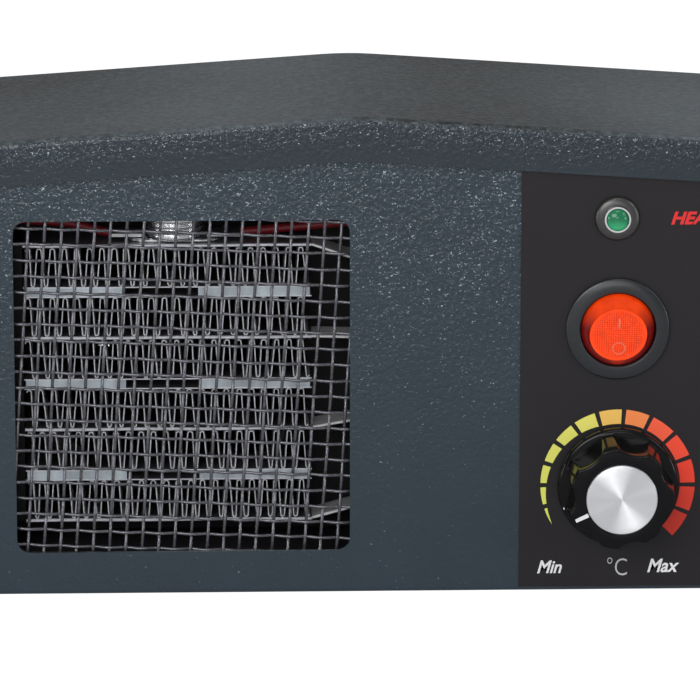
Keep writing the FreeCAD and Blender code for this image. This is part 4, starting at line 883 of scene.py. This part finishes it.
def make_button():
    """Face: u, v in a square mapped to a disc by x = u * sqrt(1 - v*v/2), z = v * sqrt(1 - u*u/2),
    with grooves where |cos| of the grid phase nears 1.  Side: rings that run from the tilted face's rim
    to an upright circle just inside the housing's mouth, as weighted means of the two circles."""
    n = FACE_STEPS
    rim_r = FACE_R - EDGE_ROUND
    u, v = np.meshgrid(np.linspace(-1, 1, n), np.linspace(-1, 1, n), indexing="xy")
    x = u * np.sqrt(1 - v * v / 2) * rim_r
    z = v * np.sqrt(1 - u * u / 2) * rim_r
    inner = np.clip((FACE_R * 0.93 - np.hypot(x, z)) / (0.5 * MM), 0, 1)
    phase = math.pi / GRID_PITCH
    groove = np.maximum(np.abs(np.cos(phase * x)), np.abs(np.cos(phase * z)))
    out = FACE_OUT - GROOVE * np.clip((groove - 0.80) / 0.2, 0, 1) * inner
    face = (tilt(np.stack([x, out, z], axis=-1)).reshape(-1, 3), grid_quads(n, n))
    edge = np.arange(1, n - 1)
    rim = np.concatenate([np.arange(n), edge * n + n - 1, n * n - 1 - np.arange(n), edge[::-1] * n])
    ring = np.stack([x.ravel()[rim], z.ravel()[rim]], axis=1)
    unit = ring / np.linalg.norm(ring, axis=1, keepdims=True)
    upright = np.stack([PIVOT[0] + unit[:, 0] * SKIRT_R, np.full(len(rim), SKIRT_Y),
                        PIVOT[2] + unit[:, 1] * SKIRT_R], axis=1)
    loops = []
    for radius, ahead in ((rim_r, 0.0), (FACE_R - 0.05 * MM, 0.05 * MM), (FACE_R, EDGE_ROUND)):
        level = np.full(len(rim), FACE_OUT - ahead)
        loops.append(tilt(np.stack([unit[:, 0] * radius, level, unit[:, 1] * radius], axis=1)))
    for share, swell in ((0.35, 0.12), (0.7, 0.16), (0.95, 0.04), (1.0, 0.0)):
        between = loops[2] * (1 - share) + upright * share
        between[:, 0] += unit[:, 0] * swell * MM
        between[:, 2] += unit[:, 1] * swell * MM
        loops.append(between)
    back = upright + [0.0, 2.5 * MM, 0.0]
    inward = np.stack([unit[:, 0], np.zeros(len(rim)), unit[:, 1]], axis=1)
    loops += [upright + [0.0, 0.5 * MM, 0.0] - inward * 0.15 * MM,
              back - inward * 1.0 * MM, back - inward * 3 * MM]
    side_v, side_f = closed_grid(np.stack(loops), caps=False)
    count = len(rim)
    side_f += [tuple(range((len(loops) - 1) * count, len(loops) * count))]
    verts, faces = merge_grids([face, (side_v, side_f)])
    middle, tip = tilt(np.array([[0.0, FACE_OUT, 0.0], [0.0, FACE_OUT + 1.0, 0.0]]))
    # The button's face and upper walls are painted light, its grooves and lower walls painted shade, and it
    # has a painted glow.
    shell = painted_light_plastic("rocker_shell_painted_light", (1.0, 0.062, 0.002), (0.13, 0.003, 0.002), 0.2,
                        plane=(middle, tip - middle))
    return piece("rocker_cap", verts, faces, "rocker", shell, ["rocker_button"], "rocker_orange", angle=40)


make_button()

# %% [markdown]
# Printed marks are thin closed slabs a few hundredths of a millimetre above the surface that carries
# them, so that they are real geometry and stay crisp.  One helper makes a slab from a closed outline.

# %% Printed marks
INK_T = 0.03 * MM


def ink(name, colour, rough=0.45):
    """Printed ink with a slight unevenness."""
    return moulded(name, colour, rough, 4000.0, 0.05, 0.3)


def ring_band(inner, outer, a0, a1, steps):
    """Band between two radii from angle a0 to a1 (radians), as a (steps, 2, 2) grid of x and z."""
    a = np.linspace(a0, a1, steps)
    r = np.stack([np.broadcast_to(inner, a.shape), np.broadcast_to(outer, a.shape)], axis=1)
    return np.stack([np.cos(a)[:, None] * r, np.sin(a)[:, None] * r], axis=-1)


def slab_from_band(band, lift, thickness, closed=False):
    """Closed slab from a band: front and back copies joined round the edge, in (x, out, z)."""
    steps = band.shape[0]
    front = np.concatenate([band[:, 0], band[:, 1]])
    loop = []
    for out in (lift + thickness, lift):
        loop.append(np.stack([front[:, 0], np.full(2 * steps, out), front[:, 1]], axis=1))
    verts = np.concatenate(loop)
    i = np.arange(steps if closed else steps - 1)
    j = (i + 1) % steps
    top = np.stack([i, j, j + steps, i + steps], axis=1)
    bottom = top[:, ::-1] + 2 * steps
    inner = np.stack([j, i, i + 2 * steps, j + 2 * steps], axis=1)
    outer = np.stack([i + steps, j + steps, j + 3 * steps, i + 3 * steps], axis=1)
    faces = [tuple(f) for f in np.concatenate([top, bottom, inner, outer])]
    if not closed:
        for k in (0, steps - 1):
            faces.append((k, k + steps, k + 3 * steps, k + 2 * steps))
    return verts, faces


def make_rocker_marks():
    """I above and O below the middle of the button's face."""
    pink = ink("rocker_ink", (0.92, 0.17, 0.10))
    half_w, half_h, steps = 0.24 * MM, 1.35 * MM, 40
    bar = np.array([[[-half_w, -half_h], [half_w, -half_h]], [[-half_w, half_h], [half_w, half_h]]])
    bar = bar + np.array([0.2 * MM, 3.2 * MM])
    loop = ring_band(1.35 * MM, 1.68 * MM, 0.0, 2 * math.pi * (steps - 1) / steps, steps)
    loop = loop + np.array([0.2 * MM, -3.6 * MM])
    parts = []
    for band, closed in ((bar, False), (loop, True)):
        verts, faces = slab_from_band(band, FACE_OUT, INK_T, closed)
        parts.append((tilt(verts), faces))
    verts, faces = merge_grids(parts)
    return piece("rocker_marks", verts, faces, "rocker", pink, smooth=False)


make_rocker_marks()

# %% [markdown]
# The dial is a ring of thirteen printed blocks round the knob, from yellow-green at the cold end to
# red at the hot end.  The blocks grow longer as they go round, and the first half of the ring also
# grows wider, from a point.  Both are simple formulas of the block's number and its angle.

# %% Dial blocks
DIAL_OUTER = 19.0 * MM
DIAL_WIDTH = 3.65 * MM
DIAL_START, DIAL_FULL = 212.0, 103.0
DIAL_BLOCKS = 13
DIAL_GAP = 3.5
BLOCK_STEPS = 12
DIAL_COLOURS = [(0.74, 0.80, 0.14), (0.77, 0.72, 0.15), (0.86, 0.52, 0.12), (0.90, 0.26, 0.08),
                (0.93, 0.12, 0.055), (0.90, 0.062, 0.03), (0.62, 0.042, 0.025)]
DIAL_STOPS = [0, 5, 6, 7, 8, 9.5, 12]


def dial_edge(n):
    """Angle in degrees of the gap after block n: the pitch grows by 0.45 degrees a block, and the
    first three quarters of the ring are pushed back by a shallow sine."""
    return 197.2 - 17.55 * n - 0.225 * n ** 2 + 2.6 * np.maximum(0.0, np.sin(math.pi * n / 8.3))


def about_knob(points, back):
    """Points (x, ahead, z) about the knob's axis, put in place ahead of a plane at y = back."""
    return np.stack([KNOB[0] + points[:, 0], back - points[:, 1], KNOB[2] + points[:, 2]], axis=1)


def make_dial():
    """Blocks with their colour stored on the vertices, found again from each vertex's own angle."""
    parts = []
    for i in range(DIAL_BLOCKS):
        start = min(dial_edge(i - 1) - DIAL_GAP / 2.0, DIAL_START)
        end = dial_edge(i) + DIAL_GAP / 2.0
        angles = np.linspace(start, end, BLOCK_STEPS)
        grown = np.clip((DIAL_START - angles) / (DIAL_START - DIAL_FULL), 0.002, 1.0) ** 0.75
        band = ring_band(DIAL_OUTER - DIAL_WIDTH * grown, DIAL_OUTER, math.radians(start),
                         math.radians(end), BLOCK_STEPS)
        parts.append(slab_from_band(band, 0.01 * MM, INK_T))
    verts, faces = merge_grids(parts)
    material, tree, shader = new_finish("dial_ink", (0.8, 0.3, 0.1), 0.4, 0.0, 0.25)
    colour = put(tree, "ShaderNodeAttribute", {"attribute_name": "ink"})
    tree.links.new(colour.outputs["Color"], shader.inputs["Base Color"])
    add_bump(tree, shader, use_group(tree, GRAIN, Scale=4000.0)["Height"], 0.1, 0.03 * MM)
    obj = piece("dial_blocks", about_knob(verts, LABEL_Y), faces, "case", material, smooth=False)
    spots = mesh_spots(obj.data)
    angle = np.degrees(np.arctan2(spots[:, 2] - KNOB[2], spots[:, 0] - KNOB[0]))
    angle = np.where(angle < -90.0, angle + 360.0, angle)
    block = np.searchsorted(-dial_edge(np.arange(DIAL_BLOCKS - 1)), -angle)
    stops = np.array(DIAL_COLOURS)
    channels = [np.interp(block, DIAL_STOPS, stops[:, k]) for k in range(3)]
    table = np.stack(channels + [np.ones(len(block))], axis=1)
    layer = obj.data.color_attributes.new("ink", "FLOAT_COLOR", "POINT")
    layer.data.foreach_set("color", table.ravel())
    return obj


make_dial()

# %% [markdown]
# Lettering is only the generic kind that such a dial needs: Min, Max and the degree sign with C, and
# a plain word over the switches.  Blender's own font is turned into a mesh, sheared for an italic and
# thickened for a bold, and then placed on the label.

# %% Lettering


def lettering(name, text, low, high, finish, shear, weight):
    """Text made a mesh and fitted to a box given by its low and high (x, z) corners on the label."""
    curve = bpy.data.curves.new(name, "FONT")
    curve.body = text
    curve.shear = shear
    curve.offset = weight
    curve.extrude = 0.5
    curve.resolution_u = 4
    source = bpy.data.objects.new(name + "_source", curve)
    bpy.context.scene.collection.objects.link(source)
    bpy.context.view_layer.update()
    flat = bpy.data.meshes.new_from_object(source)
    bpy.data.objects.remove(source)
    v = mesh_spots(flat)
    faces = [tuple(p.vertices) for p in flat.polygons]
    size = v.max(0) - v.min(0)
    unit = (v - v.min(0)) / size
    x = low[0] + unit[:, 0] * (high[0] - low[0])
    z = low[1] + unit[:, 1] * (high[1] - low[1])
    y = LABEL_Y - 0.01 * MM - unit[:, 2] * INK_T
    return piece(name, np.stack([x, y, z], axis=1), faces, "case", finish, smooth=False)


def on_label(x, z):
    """A point on the label from x across the case and z above the floor pan, in millimetres."""
    return (x * MM, FLOOR_Z + z * MM)


WHITE_INK = ink("white_ink", (0.80, 0.80, 0.82))
GREY_INK = ink("grey_ink", (0.50, 0.50, 0.52))
RED_INK = ink("red_ink", (0.72, 0.03, 0.03))
lettering("mark_min", "Min", on_label(44.6, 4.6), on_label(50.7, 7.9), WHITE_INK, 0.3, 0.02)
lettering("mark_max", "Max", on_label(71.8, 4.6), on_label(79.7, 8.1), WHITE_INK, 0.3, 0.02)
lettering("mark_degrees", "°C", on_label(61.9, 3.9), on_label(66.8, 8.5), GREY_INK, 0.0, -0.01)
lettering("mark_heat", "HEAT", on_label(76.4, 92.7), on_label(88.5, 95.9), RED_INK, 0.3, 0.04)

# %% [markdown]
# The knob is one closed surface of revolution whose radius also depends on the angle: seven shallow
# scallops bite into the grip, deepest at its face and fading out at the skirt.  Working it out as a
# radius formula keeps the scallop edges soft and the tapered wall smooth, which is what makes the
# glossy phenolic read well.

# %% Knob
SCALLOPS = 7
POINTER = math.radians(205.5)
KNOB_LOW, KNOB_HIGH = corners("thermostat_knob")
KNOB_BACK = KNOB_HIGH[1]
KNOB_REACH = (KNOB_BACK - KNOB_LOW[1]) / MM      # back to face; this and the rest in millimetres
SKIRT_EDGE = (KNOB_HIGH[0] - KNOB_LOW[0]) / 2.0 / MM
GRIP_BASE, GRIP_FACE = SKIRT_EDGE - 1.2, SKIRT_EDGE - 2.1
GRIP_START = 2.4                                 # the skirt ends and the grip's taper starts here
MILLING_R, MILLING_BITE = 7.5, 1.4
EDGE_BLEND = 0.07                                # softness of the scallops' edges


def make_knob():
    """A closed surface of revolution with scallops.  At angle a and station s, the radius is the
    smaller of the grip's own radius and the near side of a milling circle that stands outside the
    grip, softened by a fine exponential blend, less the face's edge rounding.  The stations are the
    skirt (0 to 9), the scalloped grip (9 to 18), and the recess for the cap (19 on)."""
    reach, skirt = KNOB_REACH, SKIRT_EDGE
    ahead = np.array([0.0, 0.0, 0.05, 0.35, 0.9, 1.7, 2.1, 2.35, GRIP_START, 2.45, 2.7, 4.0, 6.0, 8.0, 10.0,
                      reach - 0.6, reach - 0.22, reach - 0.06, reach, reach, reach, reach - 0.05,
                      reach - 0.5, reach - 0.5])
    own = GRIP_BASE + (GRIP_FACE - GRIP_BASE) * np.clip((ahead - GRIP_START) / (reach - GRIP_START), 0, 1)
    own[:10] = [3.2, skirt - 1.2, skirt - 0.3, skirt - 0.05, skirt, skirt - 0.1, skirt - 0.3, skirt - 0.7,
                GRIP_BASE + 0.25, GRIP_BASE + 0.06]
    own[19:] = [10.2, 8.95, 8.82, 8.8, 4.0]
    inset = np.zeros(len(ahead))
    inset[15:19] = [0.0, 0.05, 0.16, 0.36]
    scalloped = np.zeros(len(ahead), bool)
    scalloped[9:19] = True
    sides = 42 * SCALLOPS
    pitch = 2 * math.pi / SCALLOPS
    turn = (circle(sides) - POINTER + pitch) % pitch - pitch / 2.0
    middle = GRIP_FACE - MILLING_BITE + MILLING_R
    under = np.maximum(MILLING_R ** 2 - (middle * np.sin(turn)) ** 2, 0.0)
    near = np.where(under > 0, middle * np.cos(turn) - np.sqrt(under), 99.0)
    cut = -EDGE_BLEND * np.logaddexp(-own[:, None] / EDGE_BLEND, -near[None, :] / EDGE_BLEND)
    radius = np.where(scalloped[:, None], cut, own[:, None]) - inset[:, None]
    verts, faces = lathe(radius * MM, KNOB_BACK - ahead * MM, KNOB, sides)
    return piece("scalloped_knob", verts, faces, "knob", FINISH["knob_black"], ["thermostat_knob"],
                 "knob_black", angle=50)


def make_pointer():
    """White line on the face from the cap to the rim, and a small tick on the skirt."""
    across = np.array([-math.sin(POINTER), math.cos(POINTER)])
    parts = []
    for r0, r1, half, ahead, lag in ((9.0, 12.4, 0.5, KNOB_REACH, 0.0), (13.85, 14.5, 0.3, 2.3, 0.07)):
        along = np.array([math.cos(POINTER - lag), math.sin(POINTER - lag)])
        ends = [along * r * MM + across * side * half * MM
                for r, width in ((r0, 1.0), (r1, 0.85)) for side in (-width, width)]
        verts, faces = slab_from_band(np.array(ends).reshape(2, 2, 2), ahead * MM, INK_T)
        parts.append((about_knob(verts, KNOB_BACK), faces))
    verts, faces = merge_grids(parts)
    return piece("knob_pointer", verts, faces, "knob", WHITE_INK, smooth=False)


make_knob()
make_pointer()

# %% [markdown]
# The cap is a disc of aluminium turned on a lathe.  The tool leaves fine rings, and rings reflect a
# light as bright wedges that meet at the centre.  Anisotropic reflection along the rings gives the
# same wedges, and it needs to know which way the rings run, so the cap has a UV map whose U goes
# outwards, across the rings, and whose V goes round.

# %% Turned cap
CAP_LOW, CAP_HIGH = corners("knob_cap")
CAP_R = (CAP_HIGH[0] - CAP_LOW[0]) / 2.0
CAP_T = CAP_HIGH[1] - CAP_LOW[1]
RINGS_ACROSS, RINGS_ROUND = 220.0, 3.0           # how fine the turning marks are each way


def turned_metal():
    """Bright aluminium with rings: noise drawn out round the disc, and reflections that spread across it."""
    material, tree, shader = new_finish("turned_aluminium", (0.96, 0.97, 0.98), 0.32, 1.0)
    shader.inputs["Anisotropic"].default_value = 0.9
    tangent = put(tree, "ShaderNodeTangent", {"direction_type": "UV_MAP", "uv_map": "rings"})
    tree.links.new(tangent.outputs[0], shader.inputs["Tangent"])
    uv = put(tree, "ShaderNodeUVMap", {"uv_map": "rings"}).outputs[0]
    stretched = vector_maths(tree, "MULTIPLY", uv, (RINGS_ACROSS, RINGS_ROUND, 0.0)).outputs[0]
    rings = noise(tree, stretched, 1.0, 3.0)
    add_bump(tree, shader, rings, 0.12, 0.02 * MM)
    vary(tree, shader, rings, (0.92, 0.93, 0.96), (1.0, 1.0, 1.0))
    return material


def map_rings(mesh):
    """UV map from each face corner's place: U = distance from the axis / CAP_R, V = turn / 2 pi, kept
    on the same side of the seam as the face's first corner."""
    spots = mesh_spots(mesh)[:, [0, 2]] - [KNOB[0], KNOB[2]]
    corner = np.zeros(len(mesh.loops), int)
    mesh.loops.foreach_get("vertex_index", corner)
    first = np.zeros(len(mesh.polygons), int)
    count = np.zeros(len(mesh.polygons), int)
    mesh.polygons.foreach_get("loop_start", first)
    mesh.polygons.foreach_get("loop_total", count)
    turn = np.arctan2(spots[corner, 1], spots[corner, 0]) / (2 * math.pi)
    turn = turn - np.round(turn - np.repeat(turn[first], count))
    out = np.hypot(spots[corner, 0], spots[corner, 1]) / CAP_R
    layer = mesh.uv_layers.new(name="rings")
    layer.data.foreach_set("uv", np.stack([out, turn], axis=1).ravel())


def make_cap():
    """Disc of revolution from the centre of the face over a small round edge to the back."""
    radius = np.array([0.004, 0.1, 0.3, 0.55, 0.8, 0.955, 0.985, 1.0, 1.0, 0.1]) * CAP_R
    depth = np.array([0, 0, 0, 0, 0, 0, 0.04 * MM, 0.2 * MM, CAP_T, CAP_T])
    verts, faces = lathe(radius, CAP_LOW[1] + depth, KNOB, 128)
    obj = piece("turned_cap", verts, faces, "knob", turned_metal(), ["knob_cap"], "spun_aluminium", angle=40)
    map_rings(obj.data)
    return obj


make_cap()

# %% [markdown]
# The stage is a pale floor, a pale room and soft light from above and the front.  Large area lights
# are placed by a direction and a distance from the middle of the object.

# %% Floor
FLOOR_GLOW = 1.12
SELF_LIT = 0.93                                  # share of the floor's look to the camera that is its glow


def make_floor():
    """Pale floor, large enough to fill the view.  It is mostly self-lit to the camera, like the
    overexposed paper sweep under a product, and an ordinary pale grey in reflections."""
    bpy.ops.mesh.primitive_plane_add(size=8.0, location=(0, 1.5, 0))
    floor = bpy.context.object
    floor.name = "floor"
    material, tree, shader = new_finish("pale_floor", (0.8, 0.8, 0.8), 0.9, 0.0, 0.1)
    cloud = put(tree, "ShaderNodeTexNoise", Scale=30.0).outputs["Fac"]
    vary(tree, shader, cloud, (0.78, 0.78, 0.79), (0.82, 0.82, 0.83))
    glow = put(tree, "ShaderNodeEmission", Strength=FLOOR_GLOW)
    seen = put(tree, "ShaderNodeLightPath").outputs["Is Camera Ray"]
    share = maths(tree, "MULTIPLY", seen, SELF_LIT)
    mix = put(tree, "ShaderNodeMixShader", i0=share, i1=shader.outputs[0], i2=glow.outputs[0])
    tree.links.new(mix.outputs[0], tree.nodes["Material Output"].inputs["Surface"])
    floor.data.materials.append(material)
    print("floor", tuple(floor.dimensions)[:2], "m")


make_floor()

# %% Room light
ROOM_LIGHT, SEEN_LIGHT = 0.25, 0.9               # everywhere, and added only where the camera looks


def make_world():
    """Cool pale surroundings, brighter to the camera than in reflections."""
    world = bpy.data.worlds.new("studio")
    world.use_nodes = True
    tree = world.node_tree
    background = tree.nodes["Background"]
    background.inputs["Color"].default_value = (0.95, 0.97, 1.0, 1.0)
    seen = put(tree, "ShaderNodeLightPath").outputs["Is Camera Ray"]
    strength = maths(tree, "ADD", maths(tree, "MULTIPLY", seen, SEEN_LIGHT), ROOM_LIGHT)
    tree.links.new(strength, background.inputs["Strength"])
    bpy.context.scene.world = world
    print("world", world.name)


make_world()

# %% Soft lights
LIGHT_AIM = Vector((0.0, 0.0, 0.06))


def softbox(name, direction, distance, size, power):
    """Rectangular area light at a distance from the middle of the object along a direction."""
    data = bpy.data.lights.new(name, "AREA")
    data.shape = "RECTANGLE"
    data.size, data.size_y = size
    data.energy = power
    light = bpy.data.objects.new(name, data)
    bpy.context.scene.collection.objects.link(light)
    light.location = LIGHT_AIM + Vector(direction).normalized() * distance
    light.rotation_euler = (LIGHT_AIM - light.location).to_track_quat("-Z", "Y").to_euler()
    print(name, power, "W")


softbox("key_light", (-0.35, -0.85, 0.42), 1.2, (0.7, 0.5), 6.6)
softbox("fill_light", (0.8, -0.5, 0.5), 1.4, (0.5, 0.5), 2.0)
softbox("front_light", (0.05, -1.0, 0.16), 1.5, (0.5, 0.3), 1.7)
softbox("top_light", (0.1, -0.55, 0.83), 1.2, (0.5, 0.2), 1.2)
softbox("left_card", (-0.9, -0.45, -0.02), 0.9, (0.12, 0.3), 1.3)
softbox("right_card", (0.9, -0.45, -0.02), 0.9, (0.12, 0.3), 1.3)

# %% [markdown]
# The camera stands more than a metre away with a long lens, so upright edges stay nearly parallel, as
# in a catalogue.  Its place follows from a point on the front wall, two angles and a distance, which
# are easier to adjust than a position and a rotation.

# %% Camera
AIM = Vector((-1.59 * MM, WALL_Y, FLOOR_Z + 61.75 * MM))
PITCH, YAW = math.radians(14.4), math.radians(1.65)
DISTANCE = 1.3
FOCAL = 274.1


def make_camera():
    """Long-lens camera that looks along a direction given by its yaw and downward pitch."""
    data = bpy.data.cameras.new("camera")
    data.sensor_width = 36.0
    data.lens = FOCAL
    data.clip_end = 50.0
    camera = bpy.data.objects.new("camera", data)
    bpy.context.scene.collection.objects.link(camera)
    look = Vector((math.sin(YAW) * math.cos(PITCH), math.cos(YAW) * math.cos(PITCH), -math.sin(PITCH)))
    camera.location = AIM - look * DISTANCE
    camera.rotation_euler = look.to_track_quat("-Z", "Y").to_euler()
    bpy.context.scene.camera = camera
    print("camera at", [round(c, 3) for c in camera.location])


make_camera()
bpy.context.scene.view_settings.view_transform = "Standard"
